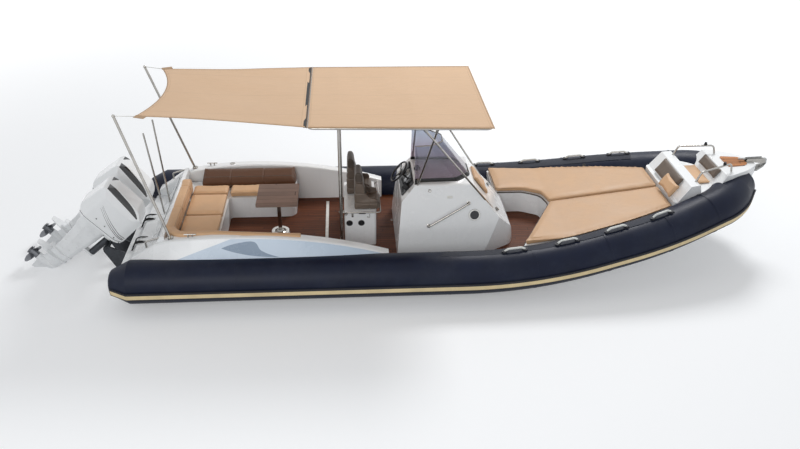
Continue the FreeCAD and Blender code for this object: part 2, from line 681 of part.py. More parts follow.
def console_form(inset=0.0):
    """The console's outer form, or the hollow inside it, as three rounded outlines crossed."""
    foot_z = FLOOR_Z - max(inset, 0.0)
    side = [(x, foot_z if z == FLOOR_Z else z, r) for x, z, r in CONSOLE_SIDE]
    x0, x1 = CONSOLE_SIDE[0][0], CONSOLE_SIDE[-1][0]
    front = [(CONSOLE_Y - CONSOLE_FOOT_HALF, foot_z), (CONSOLE_Y + CONSOLE_FOOT_HALF, foot_z),
             (CONSOLE_Y + CONSOLE_TOP_HALF, CONSOLE_TOP, 50.0),
             (CONSOLE_Y - CONSOLE_TOP_HALF, CONSOLE_TOP, 50.0)]
    half = CONSOLE_FOOT_HALF
    near, far, nose = CONSOLE_Y - half, CONSOLE_Y + half, CONSOLE_NOSE_HALF
    plan = [(x0, near, 60.0), (CONSOLE_SHOULDER_X, near, 300.0), (x1, CONSOLE_Y - nose, CONSOLE_FRONT_ROUND),
            (x1, CONSOLE_Y + nose, CONSOLE_FRONT_ROUND), (CONSOLE_SHOULDER_X, far, 300.0), (x0, far, 60.0)]
    form = prism(side, "y", CONSOLE_Y - half, CONSOLE_Y + half, 0.0, inset)
    form = form.common(prism(front, "x", x0, x1, 0.0, inset))
    return form.common(prism(plan, "z", foot_z, CONSOLE_TOP + 10, 0.0, inset))


def door_frame(grow):
    """Slab across the console's port side that the door and its opening are cut from."""
    x0, x1, z0, z1 = DOOR_X0 - grow, DOOR_X1 + grow, DOOR_Z0 - grow, DOOR_Z1 + grow
    return prism([(x0, z0), (x1, z0), (x1, z1), (x0, z1)], "y", CONSOLE_Y, CONSOLE_Y + 1000,
                 DOOR_ROUND + grow)


def wall_point(side, x, z, out=0.0):
    """Point on the console's leaning side wall, stood off by out."""
    outward = V(0, side, CONSOLE_LEAN)
    outward.normalize()
    half = CONSOLE_FOOT_HALF - CONSOLE_LEAN * (z - FLOOR_Z)
    return V(x, CONSOLE_Y + side * half, z) + outward * out, outward


def hinge_pieces(z):
    """Door knuckle with its leaf, and the console's pin held in two knuckles of its own."""
    middle, out = wall_point(1, DOOR_X1 + DOOR_GAP / 2, z)
    up = V(1, 0, 0).cross(out)
    axis = middle + out * HINGE_OUT

    def barrel(r, low, high):
        return Part.makeCylinder(r, high - low, axis + up * low, up)

    def leaf(x0, x1, low, high):
        ring = [middle + V(x, 0, 0) + up * s for x, s in ((x0, low), (x1, low), (x1, high), (x0, high))]
        return Part.Face(Part.makePolygon(ring + ring[:1])).extrude(out * HINGE_LEAF_T)

    half, edge = HINGE_L / 2, DOOR_GAP / 2
    near, far = half + HINGE_PLAY, half + HINGE_PLAY + HINGE_KNUCKLE
    door = barrel(HINGE_R, -half, half).fuse(leaf(-HINGE_LEAF_W, -edge, -half, half))
    door = door.cut(barrel(HINGE_PIN_R + PIN_GAP, -far, far))
    fixed = barrel(HINGE_PIN_R, -far, far)
    for low, high in ((-far, -near), (near, far)):
        fixed = fixed.fuse([barrel(HINGE_R, low, high), leaf(edge, HINGE_LEAF_W, low, high)])
    return door, fixed


def dash_point(out):
    """Point on the steering column's line, at a distance from the dash slope, and that line's direction."""
    (x0, z0, _), (x1, z1, _) = CONSOLE_SIDE[1], CONSOLE_SIDE[2]
    normal = V(-(z1 - z0), 0, x1 - x0)
    normal.normalize()
    middle = V((x0 + x1) / 2, WHEEL_Y, (z0 + z1) / 2 + SEAT_GAP)
    return middle + normal * out, normal


def build_console():
    shell = console_form().cut(console_form(CONSOLE_WALL))
    door = shell.common(door_frame(0))
    shell = shell.cut(door_frame(DOOR_GAP))
    light, out = wall_point(-1, PORTHOLE_X, PORTHOLE_Z)
    shell = shell.cut(Part.makeCylinder(PORTHOLE_R, 200, light - out * 100, out))
    seat, normal = dash_point(-60)
    shell = shell.cut(Part.makeCylinder(COLUMN_R + PIN_GAP, 120, seat - V(0, 0, SEAT_GAP), normal))
    shell, door = largest(shell), largest(door)
    for z in HINGE_Z:
        on_door, on_shell = hinge_pieces(z)
        door = door.fuse(on_door)
        shell = shell.fuse(on_shell)
    shell.translate(V(0, 0, SEAT_GAP))
    door.translate(V(0, 0, SEAT_GAP))
    save("console", largest(shell))
    save("console_door", largest(door))

    centre = light + V(0, 0, SEAT_GAP)
    glass = Part.makeCylinder(PORTHOLE_R - SEAT_GAP, CONSOLE_WALL, centre - out * CONSOLE_WALL, out)
    rim = Part.makeCylinder(PORTHOLE_R + PORTHOLE_RIM, PORTHOLE_RIM_T, centre + out * SEAT_GAP, out)
    hollow = Part.makeCylinder(PORTHOLE_R - PORTHOLE_RIM / 2, PORTHOLE_RIM_T, centre + out * 3, out)
    neck = Part.makeCylinder(PORTHOLE_R - SEAT_GAP, SEAT_GAP, centre, out)
    save("porthole", fused([glass, neck, rim]).cut(hollow))

    def screen(foot_z, inset):
        wires = []
        for (tip, bend, half, nose), z in ((SCREEN_FOOT, foot_z), (SCREEN_HEAD, SCREEN_TOP)):
            points = [(0, -half), (bend, -half + 25, SCREEN_ROUND), (tip, -nose, SCREEN_ROUND)]
            plan = [(x, CONSOLE_Y + y) + tuple(r) for x, y, *r in both_sides(points)]
            wires.append(Part.Face(outline(plan, "z", z)).makeOffset2D(-inset).OuterWire if inset
                         else outline(plan, "z", z))
        return loft(wires)

    foot = CONSOLE_TOP + 2 * SEAT_GAP
    inner = screen(foot, SCREEN_T)
    back = box(-50, SCREEN_T + 5, CONSOLE_Y - 900, CONSOLE_Y + 900, foot - 5, SCREEN_TOP + 5)
    save("windshield", largest(screen(foot, 0.0).cut(inner).cut(back)))


def build_helm_controls():
    centre, normal = dash_point(WHEEL_OUT)
    rim = Part.makeTorus(WHEEL_R, WHEEL_RIM, centre, normal)
    depth = CONSOLE_WALL + 10
    seat, _ = dash_point(-depth)
    boss, _ = dash_point(WHEEL_OUT - WHEEL_DISH)
    pieces = [rim, Part.makeCylinder(COLUMN_R, WHEEL_OUT + depth - WHEEL_DISH / 2, seat, normal),
              Part.makeCylinder(HUB_R, HUB_T, boss, normal)]
    for turn in (90, 210, 330):
        outward = FreeCAD.Rotation(normal, turn).multVec(PORTWARD)
        root = boss + normal * HUB_T / 2
        tip = centre + outward * WHEEL_R
        pieces.append(rod(tuple(root), tuple(tip), SPOKE_R))
    save("steering_wheel", fused(pieces))

    lean = math.degrees(math.atan2(normal.x, normal.z))
    middle, _ = dash_point(SEAT_GAP)
    panel = prism([(-150, DASH_Y0), (145, DASH_Y0), (145, DASH_Y1), (-150, DASH_Y1)], "z", 0, DASH_T, 40.0)
    panel.rotate(V(0, 0, 0), PORTWARD, lean)
    panel.translate(V(middle.x, 0, middle.z))
    foot = V(middle.x, THROTTLE_Y, middle.z) + normal * (DASH_T + SEAT_GAP)
    save("dash_panel", panel.cut(Part.makeCylinder(COLUMN_R + 6, 200, middle - normal * 100, normal)))

    base = prism([(-45, -50), (45, -50), (45, 50), (-45, 50)], "z", 0, 90, 25.0)
    base.rotate(V(0, 0, 0), PORTWARD, lean)
    base.translate(foot)
    pieces = [base]
    for y in (-22, 22):
        low = foot + normal * 70 + V(0, y, 0)
        high = low + V(-25, 0, 105)
        pieces += [rod(tuple(low), tuple(high), 8), Part.makeSphere(17, high)]
    save("throttle", fused(pieces))

    (x0, z0, _), (x1, z1, _) = CONSOLE_SIDE[3], CONSOLE_SIDE[4]
    slope = V(x1 - x0, 0, z1 - z0)
    slope.normalize()
    out = V(-slope.z, 0, slope.x)
    start = V(x0, 0, z0 + SEAT_GAP) + out * SOFT_GAP + slope * 60
    ring = [start, start + slope * 400, start + slope * 400 + out * 50, start + out * 50]
    rounds = (0.0, 0.0, 20.0, 20.0)
    side = [(p.x, p.z, r) for p, r in zip(ring, rounds)]
    save("console_cushion", prism(side, "y", CONSOLE_Y - 230, CONSOLE_Y + 230))

    ends = [wall_point(-1, *GRAB_LOW, SEAT_GAP)[0], wall_point(-1, *GRAB_LOW, 45)[0],
            wall_point(-1, *GRAB_HIGH, 45)[0], wall_point(-1, *GRAB_HIGH, SEAT_GAP)[0]]
    rail = bent_rod([tuple(p + V(0, 0, SEAT_GAP)) for p in ends], GRAB_R, GRAB_BEND)
    save("console_handrail", rail)


def canopy_slope():
    return math.atan2(CANOPY_Z_AFT - CANOPY_Z_FWD, CANOPY_FWD_X - CANOPY_AFT_X)


def under_canopy(x):
    """Height of the frame bars' middle under the canopy."""
    return CANOPY_Z_AFT - (x - CANOPY_AFT_X) * math.tan(canopy_slope()) - FRAME_R - SOFT_GAP


def side_bar_y(x):
    """Half width of the frame's side bars at x."""
    rows = ((CANOPY_AFT_X, CANOPY_HALF_AFT), (CANOPY_FWD_X, CANOPY_HALF_FWD))
    return between(rows, x) - FRAME_INSET


def build_shade():
    slope = canopy_slope()
    plan = both_sides([(CANOPY_AFT_X, CANOPY_HALF_AFT), (CANOPY_FWD_X, CANOPY_HALF_FWD)])
    canopy = prism(plan, "z", CANOPY_Z_AFT, CANOPY_Z_AFT + SHEET_T, CANOPY_ROUND)
    canopy.rotate(V(CANOPY_AFT_X, 0, CANOPY_Z_AFT), PORTWARD, math.degrees(slope))
    save("ttop_canopy", canopy)

    pieces = []
    aft, fwd = CANOPY_AFT_X + FRAME_INSET, CANOPY_FWD_X - FRAME_INSET
    for side in SIDES:
        loop = [(aft, 0, under_canopy(aft)), (aft, side * side_bar_y(aft), under_canopy(aft)),
                (fwd, side * side_bar_y(fwd), under_canopy(fwd)), (fwd, 0, under_canopy(fwd))]
        pieces.append(bent_rod(loop, FRAME_R, FRAME_BEND))
        floor = FLOOR_Z + SEAT_GAP
        pieces.append(rod((LEG_X, side * LEG_Y, floor), (LEG_X, side * LEG_Y, under_canopy(LEG_X)), LEG_R))
        pieces.append(Part.makeCylinder(FLANGE_R, FLANGE_T, V(LEG_X, side * LEG_Y, floor)))
        for x, y, head_x in STRUTS:
            head = (head_x, side * side_bar_y(head_x), under_canopy(head_x))
            foot_z = console_top(x)
            strut = rod((x, CONSOLE_Y + side * y, foot_z - 60), head, STRUT_R)
            shoe = Part.makeCylinder(FLANGE_R * 0.7, 100, V(x, CONSOLE_Y + side * y, foot_z - 90))
            pieces += [strut.cut(console_form(-SEAT_GAP)), shoe.cut(console_form(-SEAT_GAP))]
    pieces = [largest(piece) for piece in pieces]
    for x in (LEG_X, STRUTS[0][2] - 100):
        pieces.append(rod((x, -side_bar_y(x), under_canopy(x)), (x, side_bar_y(x), under_canopy(x)), FRAME_R))
    frame = fused(pieces).cut(console_form(-SEAT_GAP))
    save("ttop_frame", largest(frame))

    pitch = math.atan2(AWNING_Z_AFT - CANOPY_Z_AFT, CANOPY_AFT_X - AWNING_CORNER_X)
    run = CANOPY_AFT_X - SOFT_GAP - SHEET_T * math.sin(pitch) - AWNING_CORNER_X
    front_x = AWNING_CORNER_X + run / math.cos(pitch)
    corners = [V(AWNING_CORNER_X, AWNING_CORNER_HALF, AWNING_Z_AFT),
               V(front_x, CANOPY_HALF_AFT, AWNING_Z_AFT),
               V(front_x, -CANOPY_HALF_AFT, AWNING_Z_AFT),
               V(AWNING_CORNER_X, -AWNING_CORNER_HALF, AWNING_Z_AFT)]
    edges = [Part.LineSegment(corners[i], corners[i + 1]).toShape() for i in range(3)]
    hollow = V(AWNING_CORNER_X + AWNING_HOLLOW, 0, AWNING_Z_AFT)
    edges.append(Part.Arc(corners[3], hollow, corners[0]).toShape())
    awning = Part.Face(Part.Wire(edges)).extrude(V(0, 0, SHEET_T))
    awning.rotate(V(AWNING_CORNER_X, 0, AWNING_Z_AFT), PORTWARD, math.degrees(pitch))
    save("aft_awning", awning)


def console_top(x):
    """Height of the console's upper outline at x."""
    return between([(px, pz) for px, pz, _ in CONSOLE_SIDE[1:]], x)


def build_poles(moulding):
    """Awning poles that lean aft from the coaming, each with the line to the awning's corner."""
    top = coaming_top(POLE_FOOT_X)
    seat = moulding.translated(V(0, 0, SEAT_GAP))
    poles = []
    for side in SIDES:
        foot = V(POLE_FOOT_X, side * (coaming_inner(POLE_FOOT_X) + COAMING_CROWN / 2), top)
        head = V(POLE_TOP_X, side * POLE_TOP_Y, POLE_TOP_Z)
        corner = V(AWNING_CORNER_X, side * AWNING_CORNER_HALF, AWNING_Z_AFT + SHEET_T / 2)
        line = corner - head
        reach = head + line * (1 - (5 + SOFT_GAP) / line.Length)
        down = foot - head
        down.normalize()
        pole = fused([rod(tuple(foot + down * 30), tuple(head), POLE_R),
                      rod(tuple(head), tuple(reach), LINE_R),
                      Part.makeCylinder(POLE_FOOT_R, POLE_FOOT_T, foot), Part.makeSphere(POLE_R + 4, head)])
        poles.append(largest(pole.cut(seat)))
    save("awning_poles", *poles)


def pad_slab(thickness=None):
    """Slab under the sunpads' top surface, level aft and rising forward, or all that lies below it."""
    points = [(0, PAD_AFT_Z), (PAD_LEVEL_X, PAD_AFT_Z), (PAD_FWD_X, PAD_FWD_Z),
              (PAD_FWD_X + 900, PAD_FWD_Z + 120)]
    if thickness is None:
        return prism(points + [(PAD_FWD_X + 900, 0), (0, 0)], "y", -1500, 1500)
    under = [(x, z - thickness) for x, z in reversed(points)]
    return prism(points + under, "y", -1500, 1500)


def pad_plan(side, seam, back):
    """Plan of one half of the sunpad, open round the bow recess."""
    start = PAD_AFT_PORT_X if side > 0 else PAD_AFT_STARBOARD_X
    points = [(PAD_LEVEL_X, seam), (PAD_FWD_X - back, seam)]
    points += [(x - (back if x == PAD_FWD_X else 0), y) for x, y in reversed(PAD_EDGE)]
    points += [(start, PAD_CORNER_Y)]
    if side > 0:
        points += [(start, RECESS_HALF, 60.0), (1980, RECESS_HALF, 250.0), (2270, 300, 120.0)]
    return [(p[0], side * p[1]) + tuple(p[2:]) for p in points]


def build_bow(hull):
    slab = pad_slab(PAD_T)
    for side in SIDES:
        pad = prism(pad_plan(side, PAD_SEAM / 2, PAD_SEAM), "z", FLOOR_Z, 2000).common(slab)
        save("sunpad_" + SIDE_NAMES[side], clear_of_tubes(pad))
    below = pad_slab().translated(V(0, 0, -PAD_T - SOFT_GAP))
    halves = [prism(pad_plan(side, 0, PAD_SEAM), "z", FLOOR_Z + SEAT_GAP, 2000) for side in SIDES]
    base = halves[0].fuse(halves[1]).removeSplitter().common(below).cut(hull.translated(V(0, 0, SEAT_GAP)))
    save("sunpad_base", clear_of_tubes(base))

    side = [(PAD_FWD_X, 800), (PAD_FWD_X, 1120), (4260, 1130), *BOW_BACK_AFT, (4600, 1410, 20.0), *BOW_SEAT,
            BOW_BACK_FWD[1] + (25.0,), (NOSE_X, NOSE_Z, 20.0), (NOSE_X + 20, 1400, 30.0),
            (5420, 1000), (5100, 800)]
    block = prism(side, "y", -900, 900).common(prism(both_sides(BOW_PLAN), "z", 500, 2000, 60.0))
    moulding = clear_of_tubes(block.cut(hull.translated(V(0, 0, SEAT_GAP))))
    save("bow_moulding", moulding)
    return moulding


def slope_cushion(low, high, thickness, half):
    """Cushion lying on a slope of the bow moulding, from its low to its high corner."""
    a, b = V(low[0], 0, low[1]), V(high[0], 0, high[1])
    along = b - a
    along.normalize()
    out = V(-along.z, 0, along.x)
    a = a + out * SOFT_GAP
    b = b + out * SOFT_GAP
    ring = [a, b, b + out * thickness, a + out * thickness]
    rounds = (0.0, 0.0, 15.0, 15.0)
    return prism([(p.x, p.z, r) for p, r in zip(ring, rounds)], "y", -half, half)


def tube_place(x, side):
    """Centre and direction of a tube where it passes x."""
    points = tube_path(1).discretize(Number=400)
    for a, b in zip(points, points[1:]):
        if a.x <= x <= b.x:
            ahead = b - a
            ahead.normalize()
            return V(x, side * a.y, a.z), V(ahead.x, side * ahead.y, ahead.z)
    raise ValueError(x)


def tube_handle(x, side):
    """Grab handle arched over the tube's crown between two moulded feet."""
    centre, ahead = tube_place(x, side)
    across = UP.cross(ahead)
    across.normalize()
    up = ahead.cross(across)
    half = HANDLE_L / 2
    low, high = TUBE_R - 30, TUBE_R + HANDLE_H
    arch = [centre + up * low - ahead * half, centre + up * high - ahead * (half - 60),
            centre + up * high + ahead * (half - 60), centre + up * low + ahead * half]
    loop = bent_rod([tuple(p) for p in arch], HANDLE_R, 30)
    feet = [Part.makeCylinder(HANDLE_PAD_R, 58, centre + up * low + ahead * s * half, up) for s in SIDES]
    return largest(fused([loop] + feet).cut(TUBE_ENVELOPE[side]))


def anchor_form():
    """Plough anchor stowed on the roller: flat shank, bent down at its end, and folded fluke."""
    low, high = NOSE_Z + ROLLER_R * 2 - 4.6, NOSE_Z + 64
    front = ROLLER_END_X + ROLLER_R + 10
    side = [(5470, low, 10.0), (front, low, 8.0), (front + 8, NOSE_Z - 75), (front + 45, NOSE_Z - 50),
            (front + 38, high, 40.0), (5470, high, 10.0)]
    shank = prism(side, "y", -SHANK_T / 2, SHANK_T / 2)
    rings = []
    for x, z, half, lift in FLUKE:
        ring = [(-half, lift), (0, 0), (half, lift), (half, lift + FLUKE_T), (0, FLUKE_T),
                (-half, lift + FLUKE_T)]
        rings.append(polygon([(x, y, z + up) for y, up in ring]))
    return fused([shank, loft(rings)])


def build_bow_fittings(moulding):
    back = slope_cushion(*BOW_BACK_AFT, 50, 400)
    (x0, z0), (x1, z1) = BOW_BACK_FWD
    rise = 0.27
    rest = slope_cushion((x0 + (x1 - x0) * rise, z0 + (z1 - z0) * rise), (x1, z1), 45, 320)
    save("bow_cushions", back, slope_cushion(*BOW_SEAT, 40, 330), rest)

    top = NOSE_Z + SEAT_GAP
    plan = both_sides([(5230, 190, 40.0), (5520, 150, 60.0), (ROLLER_X - 8, 90, 20.0)])
    save("nose_pad", prism(plan, "z", top, NOSE_Z + NOSE_PAD_T))

    half, wide = ROLLER_HALF, ROLLER_HALF + ROLLER_CHEEK
    cheek = [(ROLLER_X, top), (NOSE_X + 5, top), (ROLLER_END_X + 5, top - 20, 12.0),
             (ROLLER_END_X + 35, NOSE_Z + 20, 20.0), (ROLLER_END_X - 5, NOSE_Z + 70, 25.0),
             (ROLLER_X, NOSE_Z + 60, 25.0)]
    cheeks = [prism(cheek, "y", -wide, -half), prism(cheek, "y", half, wide)]
    floor = prism([(ROLLER_X, top), (NOSE_X + 5, top), (ROLLER_END_X + 5, top - 20),
                   (ROLLER_END_X + 5, top - 14), (NOSE_X + 5, top + 6), (ROLLER_X, top + 6)],
                  "y", -half, half)
    roller = rod((ROLLER_END_X, -half, NOSE_Z + 15), (ROLLER_END_X, half, NOSE_Z + 15), ROLLER_R)
    save("anchor_roller", fused(cheeks + [floor, roller]))
    save("anchor", anchor_form())

    rails = []
    for side in SIDES:
        rail = bent_rod([(x, side * y, z) for x, y, z in BOW_RAIL], BOW_RAIL_R, 60)
        lamp = Part.makeCylinder(LAMP_R, LAMP_H, V(LAMP_X, side * LAMP_Y, LAMP_Z))
        rails.append(largest(fused([rail, lamp]).cut(moulding.translated(V(0, 0, SEAT_GAP)))))
    save("bow_rails", *rails)
    save("tube_handles", *[tube_handle(x, side) for side in SIDES for x in HANDLE_X])


def build_stern_fittings(moulding):
    seat = moulding.translated(V(0, 0, SEAT_GAP))
    top = coaming_top(CLEAT_X)
    cleats = []
    rails = []
    for side in SIDES:
        y = side * (coaming_inner(CLEAT_X) + COAMING_CROWN / 2)
        bar = top + CLEAT_H
        horn = rod((CLEAT_X - CLEAT_L / 2, y, bar), (CLEAT_X + CLEAT_L / 2, y, bar), CLEAT_R)
        feet = [rod((CLEAT_X + s * CLEAT_FEET / 2, y, top - 10),
                    (CLEAT_X + s * CLEAT_FEET / 2, y, bar), CLEAT_R + 1)
                for s in SIDES]
        cleats.append(largest(fused([horn] + feet).cut(seat)))
        rail = bent_rod([(x, side * yy, z) for x, yy, z in STERN_RAIL], GRAB_R, 40)
        rails.append(largest(rail.cut(seat)))
    save("cleats", *cleats)
    save("stern_rails", *rails)
    poles = []
    for foot_x, y, top_x, top_z in STERN_POLES:
        poles.append(largest(rod((foot_x, y, DECK_SLOPE_Z), (top_x, y, top_z), MAST_R).cut(seat)))
    save("stern_poles", *poles)


def tow_eye(seat, out, hull):
    """Lug standing out of the hull, with a rounded tip round its bore."""
    along = out.cross(PORTWARD)
    half = PORTWARD * (EYE_T / 2)
    bore = seat + out * EYE_OUT
    foot = EYE_TIP_R * 1.6
    ring = [seat - out * 15 - along * foot, seat - out * 15 + along * foot, bore + along * EYE_TIP_R,
            bore - along * EYE_TIP_R]
    ring = [point - half for point in ring]
    web = Part.Face(Part.makePolygon(ring + ring[:1])).extrude(half * 2)
    lug = web.fuse(Part.makeCylinder(EYE_TIP_R, EYE_T, bore - half, PORTWARD)).removeSplitter()
    lug = lug.cut(Part.makeCylinder(EYE_BORE_R, EYE_T * 2, bore - half * 2, PORTWARD))
    return largest(lug.cut(hull.translated(out * SEAT_GAP)))


def build_tow_eyes(hull):
    x0 = max(x for x in hull_stations() if x <= BOW_EYE_X)
    x1 = min(x for x in hull_stations() if x > BOW_EYE_X)
    seat = V(BOW_EYE_X, 0, between(((x0, keel_z(x0)), (x1, keel_z(x1))), BOW_EYE_X))
    out = V(keel_z(x1) - keel_z(x0), 0, x0 - x1)
    out.normalize()
    save("bow_eye", tow_eye(seat, out, hull))
    places = [V(TRANSOM_X, side * STERN_EYE_Y, STERN_EYE_Z) for side in SIDES]
    save("stern_eyes", *[tow_eye(place, V(-1, 0, 0), hull) for place in places])
    print("bow eye bore", seat + out * EYE_OUT)


# Engine pieces, upright, with the tilt axis at the origin

def place_engine(shape, side, tilt=REST_TILT):
    moved = shape.copy()
    moved.rotate(V(0, 0, 0), PORTWARD, tilt)
    moved.translate(V(TILT_X, side * ENGINE_SPACING / 2, TILT_Z))
    return moved


def cowl_form(inset=0.0):
    """Cowl, or the hollow inside it, as three rounded outlines crossed."""
    front = both_sides([(z, share * COWL_HALF, r) for share, z, r in COWL_FRONT])
    front = [(y, z, r) for z, y, r in front]
    plan = both_sides([(x, share * COWL_HALF, r) for x, share, r in COWL_PLAN])
    form = prism(COWL_SIDE, "y", -COWL_HALF, COWL_HALF, 0.0, inset)
    form = form.common(prism(front, "x", -900, 200, 0.0, inset))
    return form.common(prism(plan, "z", 0, 1000, 0.0, inset))


def leg_form():
    """Midsection and gear case, with the yokes and king pins that hold the swivel bracket."""
    wires = []
    for z, aft, fwd, half in LEG_SECTIONS:
        plan = [(fwd, 0.55 * half, 0.5 * half), (fwd - 60, half, half), (aft + 120, 0.9 * half, half),
                (aft, 0.3 * half, 0.25 * half)]
        wires.append(outline(both_sides(plan), "z", z))
    strut = loft(wires)
    wing = both_sides([(-770, 55, 30.0), (-500, 120, 80.0), (-215, 65, 50.0)])
    plate = prism(wing, "z", PLATE_Z, PLATE_Z + PLATE_T)
    spray = prism(both_sides([(-600, 40, 20.0), (-420, 95, 60.0), (-205, 50, 30.0)]), "z",
                  PLATE_Z + 120, PLATE_Z + 130)
    case = rod((PROP_X + PROP_GAP + PROP_HUB_L / 4, 0, PROP_Z), (GEAR_FWD_X, 0, PROP_Z), GEAR_R)
    tip_x = GEAR_FWD_X + GEAR_NOSE
    half_nose = [(GEAR_FWD_X - 10, 0), (GEAR_FWD_X - 10, GEAR_R), (GEAR_FWD_X, GEAR_R),
                 (GEAR_FWD_X + 0.75 * GEAR_NOSE, 0.7 * GEAR_R, 120.0), (tip_x, 0.2 * GEAR_R, 20.0),
                 (tip_x, 0)]
    nose = Part.Face(outline(half_nose, "y", 0)).revolve(V(0, 0, 0), V(1, 0, 0), 360)
    nose = nose.translated(V(0, 0, PROP_Z))
    skeg = prism(SKEG, "y", -SKEG_T / 2, SKEG_T / 2)
    pieces = [strut, plate, spray, case, nose, skeg]
    top, foot = SWIVEL_TOP + YOKE_GAP, SWIVEL_FOOT - YOKE_GAP - YOKE_T
    end = STEER_X + YOKE_R
    yoke = [(-260, -YOKE_R), (end, -YOKE_R, YOKE_R), (end, YOKE_R, YOKE_R), (-260, YOKE_R)]
    for low, pin_low, pin_high in ((top, SWIVEL_TOP - KING_IN, top + YOKE_T / 2),
                                   (foot, foot + YOKE_T / 2, SWIVEL_FOOT + KING_IN)):
        pieces.append(prism(yoke, "z", low, low + YOKE_T))
        pieces.append(rod((STEER_X, 0, pin_low), (STEER_X, 0, pin_high), KING_R))
    shaft_bore = rod((PROP_X, 0, PROP_Z), (PROP_X + PROP_HUB_L / 4 + PROP_SHAFT_L + 2, 0, PROP_Z),
                     PROP_SHAFT_R + PIN_GAP)
    return fused(pieces).cut(shaft_bore)


def swivel_form():
    post = Part.makeCylinder(SWIVEL_R, SWIVEL_TOP - SWIVEL_FOOT, V(STEER_X, 0, SWIVEL_FOOT))
    arm = CLAMP_IN - 6
    cross = rod((0, -arm, 0), (0, arm, 0), SWIVEL_ARM_R)
    web = box(STEER_X, 0, -50, 50, -35, 35)
    end = CLAMP_OUT + 10
    tilt_tube = rod((0, -end, 0), (0, end, 0), TILT_TUBE_R)
    bore = Part.makeCylinder(KING_R + PIN_GAP, SWIVEL_TOP - SWIVEL_FOOT + 20, V(STEER_X, 0, SWIVEL_FOOT - 10))
    return fused([post, cross, web, tilt_tube]).cut(bore)


def clamp_form():
    """Two side plates joined by a back plate on the transom."""
    reach = TRANSOM_X - TILT_X - SEAT_GAP
    side = [(-50, 0, 25.0), (-40, 40, 30.0), (40, 45, 30.0), (reach, -90, 20.0), (reach, -450, 20.0),
            (reach - 150, -450, 60.0), (-45, -50, 20.0)]
    cheeks = [prism(side, "y", -CLAMP_OUT, -CLAMP_IN), prism(side, "y", CLAMP_IN, CLAMP_OUT)]
    back = box(reach - CLAMP_BACK_T, reach, -CLAMP_IN, CLAMP_IN, -430, -110)
    hole = rod((0, -CLAMP_OUT * 2, 0), (0, CLAMP_OUT * 2, 0), TILT_TUBE_R + PIN_GAP)
    return fused(cheeks + [back]).cut(hole)


def blade_form():
    """One blade of the screw, from root to tip, as flat sections turned to its pitch."""
    wires = []
    for share, chord, thick in BLADE_SECTIONS:
        r = share * PROP_R
        angle = math.atan2(PROP_PITCH, 2 * math.pi * r)
        along = V(math.sin(angle), math.cos(angle), 0)
        across = V(math.cos(angle), -math.sin(angle), 0)
        middle = V(PROP_X - PROP_HUB_L / 4, 0, PROP_Z + r)
        wires.append(polygon([tuple(middle + along * a * chord + across * b * thick) for a, b in BLADE_LENS]))
    return loft(wires)


def prop_form():
    """Screw on its shaft, with blades repeated round the hub."""
    front = PROP_X + PROP_HUB_L / 4
    hub = rod((front - PROP_HUB_L, 0, PROP_Z), (front, 0, PROP_Z), PROP_HUB_R)
    flare = Part.makeCone(PROP_HUB_R, PROP_HUB_R + 8, 22, V(front - PROP_HUB_L + 22, 0, PROP_Z), V(-1, 0, 0))
    exhaust = rod((front - PROP_HUB_L - 30, 0, PROP_Z), (front - PROP_HUB_L + 50, 0, PROP_Z), PROP_HUB_R - 12)
    nut = rod((front - PROP_HUB_L + 8, 0, PROP_Z), (front - PROP_HUB_L + 60, 0, PROP_Z), 22)
    shaft = rod((front - 10, 0, PROP_Z), (front + PROP_SHAFT_L, 0, PROP_Z), PROP_SHAFT_R)
    blade = blade_form()
    blades = [blade.rotated(V(PROP_X, 0, PROP_Z), V(1, 0, 0), 360 * i / PROP_BLADES)
              for i in range(PROP_BLADES)]
    return fused([fused([hub, flare] + blades).cut(exhaust), nut, shaft])


def build_engines():
    cowl = cowl_form().cut(cowl_form(COWL_WALL))
    x0, x1, half, height = POWERHEAD
    foot = COWL_FOOT + COWL_WALL + SEAT_GAP
    block = box(x0, x1, -half, half, foot, foot + height)
    forms = {
        "engine_swivel_": swivel_form(), "engine_leg_": leg_form(), "engine_cowl_": largest(cowl),
        "engine_block_": block, "propeller_": prop_form(),
    }
    for side in SIDES:
        save("engine_clamp_" + SIDE_NAMES[side], place_engine(clamp_form(), side, 0))
        for node, form in forms.items():
            save(node + SIDE_NAMES[side], place_engine(form, side))


os.makedirs("parts", exist_ok=True)
hull_shape = hull_form()
build_hull(hull_shape)
cockpit = build_cockpit()
build_sofa(cockpit)
build_table()
build_helm_box()
build_console()
build_helm_controls()
build_shade()
build_poles(cockpit)
bow = build_bow(hull_shape)
build_bow_fittings(bow)
build_stern_fittings(cockpit)
build_tow_eyes(hull_shape)
build_engines()
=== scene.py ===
import math

import bmesh
import bpy
import numpy
from bpy.props import FloatProperty, FloatVectorProperty, PointerProperty
from mathutils import Matrix, Vector, noise


